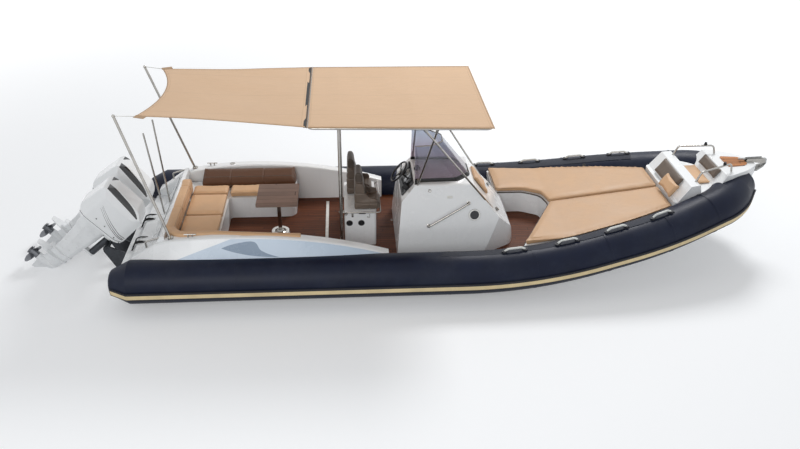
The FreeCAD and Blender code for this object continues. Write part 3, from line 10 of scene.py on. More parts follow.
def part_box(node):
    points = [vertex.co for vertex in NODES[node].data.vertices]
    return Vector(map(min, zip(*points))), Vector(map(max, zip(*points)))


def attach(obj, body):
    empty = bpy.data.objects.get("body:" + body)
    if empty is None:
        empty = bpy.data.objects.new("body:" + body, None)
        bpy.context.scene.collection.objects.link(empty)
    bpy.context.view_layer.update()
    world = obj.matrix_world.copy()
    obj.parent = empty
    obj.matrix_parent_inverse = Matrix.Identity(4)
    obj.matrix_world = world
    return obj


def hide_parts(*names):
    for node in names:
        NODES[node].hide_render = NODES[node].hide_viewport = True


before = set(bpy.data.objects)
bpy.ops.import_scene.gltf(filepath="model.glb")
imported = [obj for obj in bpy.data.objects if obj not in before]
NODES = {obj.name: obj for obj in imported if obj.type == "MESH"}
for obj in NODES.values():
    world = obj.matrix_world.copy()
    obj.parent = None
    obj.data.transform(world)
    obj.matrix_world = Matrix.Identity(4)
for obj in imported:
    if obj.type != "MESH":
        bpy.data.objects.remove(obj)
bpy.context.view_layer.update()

bl_info = {
    "name": "Rigid inflatable boat",
    "version": (1, 0, 0),
    "blender": (4, 5, 0),
    "location": "3D View > Sidebar > Boat",
    "description": "Dresses the packed boat with its finishes, soft goods and small fittings",
    "category": "Object",
}

BOAT = "boat"
SIDES = {"starboard": -1, "port": 1}
UP, DOWN = (0, 0, 1), (0, 0, -1)
FORWARD, AFT = (1, 0, 0), (-1, 0, 0)
TO_PORT, TO_STARBOARD = (0, 1, 0), (0, -1, 0)
SQUARE = ((-1, -1), (1, -1), (1, 1), (-1, 1))

# Tube centre line as the corners of a rounded route, and the skin's radius
TUBE_ROUTE = ((-4.3, 1.475, 0.43), (1.78, 1.475, 0.43), (3.85, 1.115, 0.795), (5.075, 0.65, 1.065),
              (5.41, 0.175, 1.15))
TUBE_R = 0.33
CORNER_SHARE = 0.49         # of a run that a corner's arc may take
CONE_X, CONE_LENGTH, CONE_FALL = -4.3, 0.29, 0.145
RAIL_R, RAIL_ANGLE = 0.356, -0.136
SEAM_X = (-2.75, -1.15, 0.45, 1.75, 2.9, 3.9, 4.7)
VALVE_X = (-3.9, -0.9, 3.3)
HANDLE_X = (1.5, 2.35, 3.15, 3.9)

# Console: top of the sole, middle, half width at the sole, top, and lean of its walls
SOLE_Z, CONSOLE_Y, CONSOLE_FOOT, CONSOLE_TOP, CONSOLE_LEAN = 0.37, -0.1, 0.78, 1.5, 0.2478
DASH_LOW, DASH_HIGH = Vector((-0.2, 0, 1.2304)), Vector((0.02, 0, 1.5004))
HELM_FACE_Y = -0.5205
HEADREST_Z = 1.475
PAD_BEND_X = 2.34           # where the sunpads start to rise

# Half width of the sofa's roll at its corner, and the share of it left along the coaming
ROLL_HALF, ROLL_NARROW = 0.075, 0.68

# Corners of the sheets on the port side, and the canopy's bars as shares of its length
CANOPY_AFT, CANOPY_FWD = Vector((-1.6, 1.23, 2.770)), Vector((1.05, 1.29, 2.744))
AWNING_AFT = Vector((-3.96, 0.96, 2.86))
AWNING_HEAD_HALF = 1.225
CANOPY_BARS = (0.0, 0.17, 0.585, 1.0)

# Engine frame: tilt axis, resting tilt and spacing
TILT_X, TILT_Z, REST_TILT, ENGINE_Y = -4.9, 0.42, math.radians(50), 0.36

# Soft goods: pressure and frames of the blowing up, the vertices of a mesh that is fine enough as it
# is, and the share of its cap that a form is drawn in first
PRESSURE, CLOTH_FRAMES, FINE_MESH, DRAWN_IN = 4.0, 20, 12000, 0.45

# Camera fitted to the photograph, with its yaw, pitch down and roll in degrees
CAMERA_PLACE, CAMERA_ANGLES = (-1.023, -10.988, 7.098), (4.451, 31.193, 0.967)
LENS, SENSOR = 34.2, 36.0

AXIS_R = 0.0005             # where a turned outline meets its axis
BLACK = (20, 17, 15)        # caulking


def colour(red, green, blue):
    """Linear colour from screen values of 0 to 255."""
    def linear(value):
        value /= 255
        return value / 12.92 if value <= 0.04045 else ((value + 0.055) / 1.055) ** 2.4
    return (linear(red), linear(green), linear(blue), 1.0)


def shade(base, factor):
    return tuple(min(1.0, c * factor) for c in base[:3]) + (1.0,)


def tone_property(name, description, *screen):
    return FloatVectorProperty(name=name, description=description, subtype="COLOR", size=4,
                               default=colour(*screen), min=0, max=1)


def length_property(name, description, default, low, high):
    return FloatProperty(name=name, description=description, unit="LENGTH", default=default, min=low,
                         max=high)


def power_property(name, description, default):
    return FloatProperty(name=name, description=description, unit="POWER", default=default, min=0)


class BoatColours(bpy.types.PropertyGroup):
    tubes: tone_property("Tubes", "Coated fabric of the air tubes", 9, 18, 40)
    gelcoat: tone_property("Gelcoat", "Hull, deck and console mouldings", 240, 242, 243)
    side_panel: tone_property("Side panel", "Panels along the cockpit sides", 190, 206, 222)
    cushions: tone_property("Cushions", "Vinyl of sofa and sunpads", 208, 168, 128)
    seats: tone_property("Helm seats", "Vinyl of the helm seats and bow backrests", 98, 85, 74)
    canvas: tone_property("Canvas", "Canopy and awning cloth", 214, 178, 141)
    stripe: tone_property("Rail stripe", "Stripe along the rub rail", 226, 205, 160)
    teak: tone_property("Teak", "Planks of the sole", 98, 52, 27)


class BoatSizes(bpy.types.PropertyGroup):
    plank: length_property("Plank width", "Width of one plank of the sole", 0.058, 0.02, 0.2)
    piping: length_property("Piping radius", "Radius of the cord sewn into cushion edges", 0.0045, 0.001,
                            0.01)
    canopy_sag: length_property("Canopy sag", "How far the canopy sinks between its bars", 0.022, 0, 0.1)
    awning_sag: length_property("Awning sag", "How far the awning sinks at its middle", 0.035, 0, 0.1)


class StageSettings(bpy.types.PropertyGroup):
    key_power: power_property("Key lamp", "Power of the large lamp over the bow", 1430)
    fill_power: power_property("Fill lamp", "Power of the lamp behind the camera", 520)


def colours():
    return bpy.context.scene.boat_colours


def sizes():
    return bpy.context.scene.boat_sizes


# Shader trees and the groups that finishes share

class Tree:
    """Short calls that add and join nodes."""

    def __init__(self, tree):
        self.tree = tree

    def node(self, kind, inputs=None, **settings):
        made = self.tree.nodes.new("ShaderNode" + kind)
        for key, value in settings.items():
            setattr(made, key, value)
        for key, value in (inputs or {}).items():
            self.feed(made.inputs[key], value)
        return made

    def feed(self, socket, value):
        if isinstance(value, bpy.types.NodeSocket):
            self.tree.links.new(value, socket)
        else:
            socket.default_value = value

    def math(self, operation, *values):
        return self.node("Math", dict(enumerate(values)), operation=operation).outputs[0]

    def plus(self, a, b):
        return self.math("ADD", a, b)

    def minus(self, a, b):
        return self.math("SUBTRACT", a, b)

    def times(self, a, b):
        return self.math("MULTIPLY", a, b)

    def over(self, a, b):
        return self.math("DIVIDE", a, b)

    def highest(self, a, b):
        return self.math("MAXIMUM", a, b)

    def rest(self, value):
        return self.minus(1.0, value)

    def off(self, a, b):
        """How far one value is from another."""
        return self.math("ABSOLUTE", self.minus(a, b))

    def fraction(self, value):
        return self.math("FRACT", value)

    def wave(self, value, scale):
        return self.math("SINE", self.times(value, scale))

    def mix(self, share, a, b):
        return self.node("Mix", {0: share, 6: a, 7: b}, data_type="RGBA").outputs[2]

    def veil(self, mask, share, under, over):
        """One tone over another where a mask lies, up to a share."""
        return self.mix(self.times(mask, share), under, over)

    def step(self, value, low, high):
        """0 below low, 1 above high, smooth between."""
        return self.node("MapRange", {"Value": value, "From Min": low, "From Max": high},
                         interpolation_type="SMOOTHSTEP").outputs["Result"]

    def share_of(self, value, low, high):
        """0 at low, 1 at high, straight between."""
        return self.node("MapRange", {"Value": value, "From Min": low, "From Max": high}).outputs[0]

    def span(self, value, low, high):
        """Low at 0, high at 1, straight between."""
        return self.node("MapRange", {"Value": value, "To Min": low, "To Max": high}).outputs[0]

    def split(self, vector):
        return self.node("SeparateXYZ", {0: vector}).outputs

    def noise(self, vector, scale, detail=3.0, roughness=0.5):
        return self.node("TexNoise", {"Vector": vector, "Scale": scale, "Detail": detail,
                                      "Roughness": roughness}).outputs["Fac"]

    def stretch(self, vector, x, y, z):
        return self.node("Mapping", {"Vector": vector, "Scale": (x, y, z)}).outputs[0]

    def background_seen(self):
        """1 for rays that may show the plain background: from the camera, off gloss and through glass."""
        path = self.node("LightPath").outputs
        bounced = self.highest(path["Is Glossy Ray"], path["Is Transmission Ray"])
        return self.highest(path["Is Camera Ray"], bounced)


def group_tree(name, inputs, outputs):
    """Shader group that reads a vector and other values: its tree, its inputs and its outputs."""
    group = bpy.data.node_groups.new(name, "ShaderNodeTree")
    group.interface.new_socket(name="Vector", in_out="INPUT", socket_type="NodeSocketVector")
    for label, default in inputs.items():
        socket = group.interface.new_socket(name=label, in_out="INPUT", socket_type="NodeSocketFloat")
        socket.default_value = default
    for label in outputs:
        group.interface.new_socket(name=label, in_out="OUTPUT", socket_type="NodeSocketFloat")
    given = group.nodes.new("NodeGroupInput")
    result = group.nodes.new("NodeGroupOutput")
    return Tree(group), given.outputs, result.inputs


def build_grain_group():
    """Fine leather or moulded grain with slow changes of tone."""
    tree, given, result = group_tree("Grain", {"Scale": 400.0}, ("Height", "Tone"))
    cells = tree.node("TexVoronoi", {"Vector": given["Vector"], "Scale": given["Scale"]}, feature="SMOOTH_F1")
    fine = tree.noise(given["Vector"], given["Scale"])
    tree.feed(result["Height"], tree.plus(tree.times(cells.outputs["Distance"], 0.6), tree.times(fine, 0.4)))
    tree.feed(result["Tone"], tree.step(tree.noise(given["Vector"], 2.3, 4.0, 0.6), 0.3, 0.7))


def build_weave_group():
    """Plain weave: threads over and under, and a slubby tone."""
    tree, given, result = group_tree("Weave", {"Threads": 700.0}, ("Height", "Tone"))
    x, y, _ = tree.split(given["Vector"])
    crossing = tree.times(tree.wave(x, given["Threads"]), tree.wave(y, given["Threads"]))
    tree.feed(result["Height"], tree.plus(tree.times(crossing, 0.5), 0.5))
    slub = tree.noise(tree.stretch(given["Vector"], 6.0, 90.0, 6.0), 1.0)
    tree.feed(result["Tone"], tree.step(slub, 0.25, 0.75))


def build_planks_group():
    """Planks along X with caulked seams, a tone for each plank and long grain."""
    tree, given, result = group_tree("Planks", {"Width": 0.06, "Seam": 0.006, "Length": 1.8},
                                     ("Caulk", "Tone", "Grain"))
    x, y, _ = tree.split(given["Vector"])
    row = tree.over(y, given["Width"])
    index = tree.math("FLOOR", row)
    edge = tree.minus(0.5, tree.over(given["Seam"], tree.times(given["Width"], 2.0)))
    across = tree.step(tree.off(tree.fraction(row), 0.5), tree.minus(edge, 0.012), tree.plus(edge, 0.012))
    shift = tree.times(tree.fraction(tree.times(index, 0.37)), given["Length"])
    place = tree.over(tree.plus(x, shift), given["Length"])
    butt = tree.step(tree.off(tree.fraction(place), 0.5), 0.497, 0.499)
    tree.feed(result["Caulk"], tree.highest(across, butt))
    cell = tree.node("CombineXYZ", {0: index, 1: tree.math("FLOOR", place)}).outputs[0]
    tree.feed(result["Tone"], tree.node("TexWhiteNoise", {"Vector": cell}).outputs["Value"])
    tree.feed(result["Grain"], tree.noise(tree.stretch(given["Vector"], 5.0, 130.0, 130.0), 1.0, 5.0, 0.6))


def build_film_group():
    """Salt film and water marks that dull a glossy surface in places."""
    tree, given, result = group_tree("Film", {"Scale": 3.0}, ("Mask", "Streaks"))
    tree.feed(result["Mask"], tree.step(tree.noise(given["Vector"], given["Scale"], 6.0, 0.62), 0.42, 0.72))
    runs = tree.noise(tree.stretch(given["Vector"], 22.0, 22.0, 1.6), 1.0)
    tree.feed(result["Streaks"], tree.step(runs, 0.5, 0.85))


GROUP_MAKERS = (build_grain_group, build_weave_group, build_planks_group, build_film_group)


class Finish(Tree):
    """A material with its Principled surface, read on Object coordinates."""

    def __init__(self, name, **plain):
        self.material = bpy.data.materials.new(name)
        self.material.use_nodes = True
        super().__init__(self.material.node_tree)
        self.tree.nodes.clear()
        self.surface = self.node("BsdfPrincipled")
        self.node("OutputMaterial", {"Surface": self.surface.outputs["BSDF"]})
        self.place = self.node("TexCoord").outputs["Object"]
        self.set(**plain)

    def set(self, **inputs):
        for key, value in inputs.items():
            self.feed(self.surface.inputs[key.replace("_", " ")], value)

    def group(self, name, **inputs):
        """Outputs of a shared group, placed on Object coordinates."""
        made = self.node("Group", {"Vector": self.place, **inputs}, node_tree=bpy.data.node_groups[name])
        return made.outputs

    def grain(self, scale):
        return self.group("Grain", Scale=scale)

    def film(self, scale):
        return self.group("Film", Scale=scale)

    def dull(self, mask, low, high):
        """Roughness that follows a mask."""
        self.set(Roughness=self.span(mask, low, high))

    def bump(self, height, depth, before=None):
        made = self.node("Bump", {"Height": height, "Distance": depth, "Strength": 1.0})
        if before is not None:
            self.feed(made.inputs["Normal"], before)
        self.set(Normal=made.outputs["Normal"])
        return made.outputs["Normal"]


def tube_fabric(name):
    finish = Finish(name, Specular_IOR_Level=0.22)
    base = tuple(colours().tubes)
    grain, film = finish.grain(520.0), finish.film(1.7)
    tone = finish.mix(grain["Tone"], shade(base, 0.88), shade(base, 1.14))
    finish.set(Base_Color=finish.veil(film["Mask"], 0.05, tone, colour(120, 128, 140)))
    finish.dull(film["Mask"], 0.42, 0.54)
    finish.bump(grain["Height"], 0.0004)
    return finish.material


def strip_rubber(name):
    """Rubber strip with crossed ribs."""
    finish = Finish(name, Roughness=0.72)
    x, y, _ = finish.split(finish.place)
    ribs = finish.highest(finish.wave(finish.plus(x, y), 420.0), finish.wave(finish.minus(x, y), 420.0))
    finish.set(Base_Color=finish.mix(finish.grain(300.0)["Tone"], colour(20, 25, 38), colour(28, 33, 47)))
    finish.bump(ribs, 0.0006)
    return finish.material


def rubber(name, base, rough=0.6):
    finish = Finish(name)
    grain, film = finish.grain(650.0), finish.film(4.0)
    finish.set(Base_Color=finish.mix(grain["Tone"], shade(base, 0.9), shade(base, 1.1)))
    finish.dull(film["Mask"], rough, rough + 0.15)
    finish.bump(grain["Height"], 0.0003)
    return finish.material


def gelcoat(name, base, stain=False):
    """Moulded gelcoat with salt film and runs, stained near the waterline if asked."""
    finish = Finish(name, Coat_Weight=0.35, Coat_Roughness=0.12)
    film = finish.film(2.2)
    tone = finish.veil(film["Mask"], 0.5, base, shade(base, 0.95))
    tone = finish.veil(film["Streaks"], 0.25, tone, shade(base, 0.90))
    if stain:
        low = finish.rest(finish.step(finish.split(finish.place)[2], 0.02, 0.16))
        tone = finish.mix(finish.times(low, finish.noise(finish.place, 5.0)), tone, colour(190, 182, 150))
    finish.set(Base_Color=tone)
    finish.dull(film["Mask"], 0.22, 0.36)
    finish.bump(finish.noise(finish.place, 60.0, 2.0), 0.0004)
    return finish.material


def curve_of(finish, value, x_low, x_high, z_low, z_high, points):
    """Height of a drawn edge over x, from points given in metres."""
    made = finish.node("FloatCurve", {"Value": finish.share_of(value, x_low, x_high)})
    line = made.mapping.curves[0]
    rows = [((x - x_low) / (x_high - x_low), (z - z_low) / (z_high - z_low)) for x, z in points]
    line.points[0].location = rows[0]
    line.points[-1].location = rows[-1]
    for row in rows[1:-1]:
        line.points.new(*row)
    made.mapping.update()
    return finish.span(made.outputs[0], z_low, z_high)


def drawn_shape(finish, along, height, box, upper, lower, ends, soft):
    """Mask between two drawn edges, cut off at both ends."""
    upper, lower = curve_of(finish, along, *box, upper), curve_of(finish, along, *box, lower)
    below = finish.rest(finish.step(finish.minus(height, upper), -soft, soft))
    above = finish.step(finish.minus(height, lower), -soft, soft)
    inside = finish.times(finish.step(along, *ends[0]), finish.rest(finish.step(along, *ends[1])))
    return finish.times(finish.times(below, above), inside)


def side_panel_finish(name):
    """Pale panel with a pointed aft end and a darker swoosh."""
    finish = Finish(name, Coat_Weight=0.3, Coat_Roughness=0.15)
    x, _, z = finish.split(finish.place)
    base = tuple(colours().side_panel)
    film = finish.film(2.5)
    pale = finish.veil(film["Mask"], 0.5, base, shade(base, 0.93))
    swoosh = drawn_shape(finish, x, z, (-3.0, -2.0, 0.7, 1.1),
                         ((-2.93, 0.905), (-2.65, 0.976), (-2.45, 0.982), (-2.35, 0.865), (-2.08, 0.765)),
                         ((-2.93, 0.900), (-2.70, 0.835), (-2.40, 0.785), (-2.08, 0.763)),
                         ((-2.935, -2.925), (-2.09, -2.08)), 0.003)
    tone = finish.mix(swoosh, pale, colour(104, 128, 152))
    white = finish.step(finish.minus(z, finish.math("MULTIPLY_ADD", x, 0.34, 1.975)), -0.003, 0.003)
    finish.set(Base_Color=finish.mix(white, tone, tuple(colours().gelcoat)))
    finish.dull(film["Mask"], 0.25, 0.4)
    finish.bump(finish.noise(finish.place, 60.0), 0.0003)
    return finish.material


def planks(name, base, width, seam, length=1.8, rough=0.5, black=BLACK):
    """Oiled planks along the boat, with caulking and a light film."""
    finish = Finish(name, Specular_IOR_Level=0.2)
    wood = finish.group("Planks", Width=width, Seam=seam, Length=length)
    tone = finish.mix(wood["Tone"], shade(base, 0.72), shade(base, 1.22))
    tone = finish.veil(finish.step(wood["Grain"], 0.35, 0.7), 0.55, tone, shade(base, 0.55))
    tone = finish.veil(finish.film(2.0)["Mask"], 0.18, tone, shade(base, 1.5))
    finish.set(Base_Color=finish.mix(wood["Caulk"], tone, colour(*black)))
    finish.dull(wood["Grain"], rough - 0.1, rough + 0.12)
    finish.bump(finish.minus(finish.times(wood["Grain"], 0.25), wood["Caulk"]), 0.0012)
    return finish.material


def vinyl(name, base, rough=0.48, headrest=False):
    """Marine vinyl: fine grain, soft creases, a little sun fade, and a darker headrest if asked."""
    finish = Finish(name, Sheen_Weight=0.15, Sheen_Roughness=0.4)
    grain, film = finish.grain(560.0), finish.film(1.9)
    tone = finish.mix(grain["Tone"], shade(base, 0.94), shade(base, 1.05))
    tone = finish.veil(film["Mask"], 0.25, tone, shade(base, 1.12))
    if headrest:
        high = finish.step(finish.split(finish.place)[2], HEADREST_Z - 0.003, HEADREST_Z + 0.003)
        tone = finish.mix(high, tone, shade(base, 0.5))
    finish.set(Base_Color=tone)
    finish.dull(grain["Tone"], rough, rough + 0.1)
    creases = finish.noise(finish.stretch(finish.place, 1.0, 2.6, 1.0), 7.0, 3.0, 0.55)
    finish.bump(grain["Height"], 0.0003, finish.bump(creases, 0.0035))
    return finish.material


def canvas(name):
    """Woven cloth in sewn widths, faded in places."""
    finish = Finish(name, Roughness=0.85, Sheen_Weight=0.3)
    base = tuple(colours().canvas)
    weave = finish.group("Weave", Threads=1500.0)
    tone = finish.mix(weave["Tone"], shade(base, 0.95), shade(base, 1.03))
    tone = finish.veil(finish.film(0.9)["Mask"], 0.35, tone, shade(base, 0.9))
    widths = finish.fraction(finish.over(finish.split(finish.place)[1], 0.76))
    seam = finish.step(finish.off(widths, 0.5), 0.491, 0.496)
    finish.set(Base_Color=finish.veil(seam, 0.35, tone, shade(base, 0.62)))
    soft = finish.bump(finish.noise(finish.place, 3.0), 0.006)
    finish.bump(finish.plus(finish.times(weave["Height"], 0.3), seam), 0.0009, soft)
    return finish.material


def metal(name, base, rough, brushed=0.0):
    finish = Finish(name, Metallic=1.0)
    film = finish.film(9.0)
    finish.set(Base_Color=finish.mix(film["Mask"], base, shade(base, 0.82)))
    finish.dull(film["Mask"], rough, rough + 0.16)
    finish.bump(finish.noise(finish.stretch(finish.place, 60.0, 60.0, 60.0), 4.0, 2.0), 0.00004 + brushed)
    return finish.material


def plastic(name, base, rough=0.42, scale=500.0, depth=0.00025):
    finish = Finish(name)
    grain, film = finish.grain(scale), finish.film(6.0)
    finish.set(Base_Color=finish.mix(film["Mask"], base, shade(base, 1.25)))
    finish.dull(film["Mask"], rough, rough + 0.12)
    finish.bump(grain["Height"], depth)
    return finish.material


def tinted_glass(name):
    """Smoked screen, darker along its foot, with faint water marks."""
    finish = Finish(name, IOR=1.45, Transmission_Weight=0.85, Metallic=0.0)
    z = finish.split(finish.place)[2]
    foot = finish.rest(finish.step(z, 1.55, 1.56))
    clear = finish.mix(finish.step(z, 1.55, 2.1), colour(172, 158, 170), colour(182, 190, 206))
    finish.set(Base_Color=finish.mix(foot, clear, colour(12, 12, 16)))
    finish.dull(finish.film(6.0)["Mask"], 0.02, 0.12)
    return finish.material


def engine_frame(finish, side):
    """Object coordinates turned back to the upright engine: along, across, up from its tilt axis."""
    moved = finish.node("Mapping", {"Vector": finish.place, "Location": (-TILT_X, -side * ENGINE_Y, -TILT_Z)})
    turned = finish.node("Mapping", {"Vector": moved.outputs[0], "Rotation": (0, -REST_TILT, 0)})
    return finish.split(turned.outputs[0])


def cowl_paint(side):
    """White gloss cowl with a tapered black stripe near its top edge and thin swoosh lines."""
    finish = Finish("cowl paint", Coat_Weight=0.6, Coat_Roughness=0.06)
    x, y, z = engine_frame(finish, side)
    base = tuple(colours().gelcoat)
    film = finish.film(3.5)
    tone = finish.veil(film["Mask"], 0.4, base, shade(base, 0.95))
    # Height up the side that carries on over the shoulder to the cowl's middle
    height = finish.math("MULTIPLY_ADD", finish.minus(0.25, finish.math("ABSOLUTE", y)), 0.8, z)
    lines = drawn_shape(finish, x, height, (-0.72, 0.0, 0.70, 1.10),
                        ((-0.71, 1.045), (-0.45, 1.005), (-0.20, 0.935), (-0.05, 0.835)),
                        ((-0.71, 0.925), (-0.45, 0.885), (-0.20, 0.845), (-0.05, 0.815)),
                        ((-0.705, -0.70), (-0.06, -0.055)), 0.002)
    # Thin swoosh lines that fan out down the side
    line_aft, line_fore = -0.56, 0.06
    for start, end, rise in ((0.62, 0.36, 0.10), (0.60, 0.33, 0.13), (0.57, 0.31, 0.15)):
        share = finish.share_of(x, line_aft, line_fore)
        bend = finish.times(finish.times(share, finish.rest(share)), rise)
        middle = finish.minus(finish.math("MULTIPLY_ADD", share, end - start, start), bend)
        width = finish.math("MULTIPLY_ADD", share, 0.005, 0.0015)
        drawn = finish.math("LESS_THAN", finish.off(z, middle), width)
        within = finish.times(finish.math("GREATER_THAN", x, line_aft),
                              finish.math("LESS_THAN", x, line_fore))
        lines = finish.highest(lines, finish.times(drawn, within))
    seam = finish.math("LESS_THAN", finish.off(z, 0.262), 0.004)
    finish.set(Base_Color=finish.mix(finish.highest(lines, seam), tone, colour(22, 23, 26)))
    finish.dull(film["Mask"], 0.16, 0.28)
    finish.bump(finish.minus(finish.noise(finish.place, 30.0), seam), 0.0012)
    return finish.material


def leg_paint(name):
    """White paint, scuffed in places."""
    finish = Finish(name, Coat_Weight=0.3, Coat_Roughness=0.15)
    base = tuple(colours().gelcoat)
    scuffs = finish.step(finish.noise(finish.place, 26.0, 6.0, 0.7), 0.62, 0.70)
    tone = finish.veil(finish.film(7.0)["Mask"], 0.6, shade(base, 0.97), shade(base, 0.84))
    finish.set(Base_Color=finish.veil(scuffs, 0.5, tone, colour(120, 120, 118)))
    finish.dull(scuffs, 0.28, 0.6)
    finish.bump(finish.noise(finish.place, 90.0), 0.0005)
    return finish.material


FINISHES = {}


def finish_row(name):
    """A finish's slot on added pieces, its maker and the maker's values."""
    c = colours()
    white, tan, brown = tuple(c.gelcoat), tuple(c.cushions), tuple(c.seats)
    return {
        "tube fabric": ("tube_fabric", tube_fabric),
        "ribbed strip": ("tube_fabric", strip_rubber),
        "rail rubber": ("rail_rubber", rubber, colour(24, 26, 34)),
        "rail stripe": ("rail_rubber", rubber, tuple(c.stripe), 0.5),
        "handle rubber": ("rail_rubber", rubber, colour(222, 224, 220), 0.55),
        "black rubber": ("black_plastic", rubber, colour(20, 20, 22)),
        "gasket": ("black_plastic", rubber, colour(70, 66, 62)),
        "hull gelcoat": (None, gelcoat, white, True),
        "deck gelcoat": ("deck_gelcoat", gelcoat, white),
        "side panel": (None, side_panel_finish),
        "sole planks": ("teak", planks, tuple(c.teak), sizes().plank, 0.008),
        "table planks": ("teak", planks, colour(150, 126, 114), 0.12, 0.005, 3.0, 0.6, (74, 54, 46)),
        "nose planks": ("teak", planks, colour(190, 128, 82), 0.05, 0.005, 2.0),
        "tan vinyl": ("tan_vinyl", vinyl, tan),
        # Dark brown copy of the tan vinyl, painted shade for the port backrest
        "shaded vinyl": ("tan_vinyl", vinyl, colour(84, 50, 24), 0.62),
        # Darker copy of the cushion vinyl, painted shade that tones down the lit sunpads
        "pad vinyl": ("tan_vinyl", vinyl, shade(tan, 0.86)),
        "tan piping": ("tan_vinyl", vinyl, shade(tan, 0.72)),
        # Brown vinyl of the helm seats, also painted shade on the two bow backrests
        "brown vinyl": ("brown_vinyl", vinyl, brown),
        "seat vinyl": ("brown_vinyl", vinyl, brown, 0.48, True),
        "brown piping": ("brown_vinyl", vinyl, shade(brown, 0.6)),
        "canvas": ("canvas", canvas),
        "canvas hem": ("canvas", vinyl, shade(tuple(c.canvas), 0.62), 0.8),
        "polished steel": ("steel", metal, colour(176, 173, 168), 0.14),
        "cast steel": ("steel", metal, colour(180, 180, 178), 0.3, 0.0002),
        "prop steel": ("steel", metal, colour(120, 122, 126), 0.25, 0.0001),
        "bracket metal": (None, metal, colour(74, 76, 80), 0.42, 0.0003),
        "black plastic": ("black_plastic", plastic, colour(22, 22, 24)),
        "white plastic": ("white_paint", plastic, colour(228, 228, 224), 0.35),
        "smoked screen": ("smoked_glass", tinted_glass),
        "porthole glass": ("smoked_glass", plastic, colour(18, 20, 26), 0.08, 80.0, 0.0),
        "display": ("smoked_glass", plastic, colour(14, 18, 26), 0.06, 80.0, 0.0),
        "leg paint": (None, leg_paint),
        "engine block": (None, plastic, colour(60, 62, 64), 0.6, 90.0, 0.001),
    }[name]


def finish_named(name):
    """Each finish is made once, when a piece first asks for it."""
    if name not in FINISHES:
        _, maker, *values = finish_row(name)
        FINISHES[name] = maker(name, *values)
    return FINISHES[name]


def paint(finish, *nodes):
    """Carried-over nodes take a finish, given by name or as a material."""
    material = finish_named(finish) if isinstance(finish, str) else finish
    for node in nodes:
        slots = NODES[node].data.materials
        for i in range(len(slots)):
            slots[i] = material
        if not slots:
            slots.append(material)


# Ways to make pieces

def dress(piece, finish, body, slot):
    """The piece takes its finish and rides on a body."""
    piece.data.materials.clear()
    piece.data.materials.append(finish_named(finish))
    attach(piece, body)
    slot or finish_row(finish)[0]


def add_piece(name, mesh, finish, angle=35.0, body=BOAT, slot=None):
    """Links a mesh in place, with smooth faces and sharp folds."""
    mesh.shade_smooth()
    mesh.set_sharp_from_angle(angle=math.radians(angle))
    piece = bpy.data.objects.new(name, mesh)
    bpy.context.scene.collection.objects.link(piece)
    dress(piece, finish, body, slot)
    return piece


def mesh_from(name, bm):
    mesh = bpy.data.meshes.new(name)
    bm.to_mesh(mesh)
    bm.free()
    return mesh


def add_bmesh(name, bm, finish, **where):
    bmesh.ops.remove_doubles(bm, verts=bm.verts, dist=1e-6)
    bmesh.ops.recalc_face_normals(bm, faces=bm.faces)
    return add_piece(name, mesh_from(name, bm), finish, **where)


def aim(direction, origin=(0, 0, 0), roll_up=UP):
    """Matrix whose Z points along direction and whose Y leans to roll_up."""
    z = Vector(direction).normalized()
    up = Vector(roll_up)
    if abs(z.dot(up)) > 0.999:
        up = Vector(FORWARD)
    x = up.cross(z).normalized()
    turn = Matrix((x, z.cross(x), z)).transposed().to_4x4()
    return Matrix.Translation(Vector(origin)) @ turn


def add_block(bm, low, high, bevel=0.0, segments=2, turn=None):
    """Box between two corners, with rounded edges."""
    low, high = Vector(low), Vector(high)
    verts = bmesh.ops.create_cube(bm, size=1.0)["verts"]
    bmesh.ops.scale(bm, vec=high - low, verts=verts)
    bmesh.ops.translate(bm, vec=(low + high) / 2, verts=verts)
    if bevel:
        edges = list({e for v in verts for e in v.link_edges})
        made = bmesh.ops.bevel(bm, geom=edges, offset=bevel, segments=segments, profile=0.5, affect="EDGES",
                               material=-1, offset_type="OFFSET", clamp_overlap=True)
        verts = list({v for f in made["faces"] for v in f.verts} | {v for v in verts if v.is_valid})
    if turn is not None:
        bmesh.ops.transform(bm, matrix=turn, verts=verts)


def add_rod(bm, start, end, radius):
    axis = end - start
    bmesh.ops.create_cone(bm, cap_ends=True, cap_tris=False, segments=24, radius1=radius, radius2=radius,
                          depth=axis.length, matrix=aim(axis, (start + end) / 2))


def connected(verts):
    """Vertices that edges join to the given ones, these included."""
    seen, todo = set(verts), list(verts)
    while todo:
        for edge in todo.pop().link_edges:
            for v in edge.verts:
                if v not in seen:
                    seen.add(v)
                    todo.append(v)
    return seen


def add_turned(bm, outline, centre, direction, segments=32):
    """Solid of revolution: outline rows are radius and height along direction."""
    verts = [bm.verts.new((radius, 0, height)) for radius, height in outline]
    edges = [bm.edges.new(pair) for pair in zip(verts, verts[1:])]
    bmesh.ops.spin(bm, geom=verts + edges, cent=(0, 0, 0), axis=UP, angle=2 * math.pi, steps=segments,
                   use_merge=True)
    bmesh.ops.transform(bm, matrix=aim(direction, centre), verts=list(connected(verts)))


def add_button(bm, centre, direction, top, shoulder, foot, segments=24):
    """Low disc: height of its middle, radius and height of its shoulder, radius of its foot."""
    add_turned(bm, ((AXIS_R, top), shoulder, (foot, 0.0), (AXIS_R, 0.0)), centre, direction, segments)


def ring_on(bm, centre, direction, radius, thick, height, segments=36):
    """Raised ring: a rounded band turned about its centre."""
    add_turned(bm, ((radius - thick, 0.0), (radius - thick, height * 0.7), (radius - thick * 0.7, height),
                    (radius - thick * 0.3, height), (radius, height * 0.6), (radius, 0.0),
                    (radius - thick, 0.0)), centre, direction, segments)


def screws(bm, places, direction, radius=0.004):
    """Domed screw heads."""
    for place in places:
        add_button(bm, place, direction, radius * 0.55, (radius * 0.6, radius * 0.45), radius, 12)


def round_the_circle(count, first=0.0):
    """Angles spaced evenly round a circle."""
    return [2 * math.pi / count * k + first for k in range(count)]


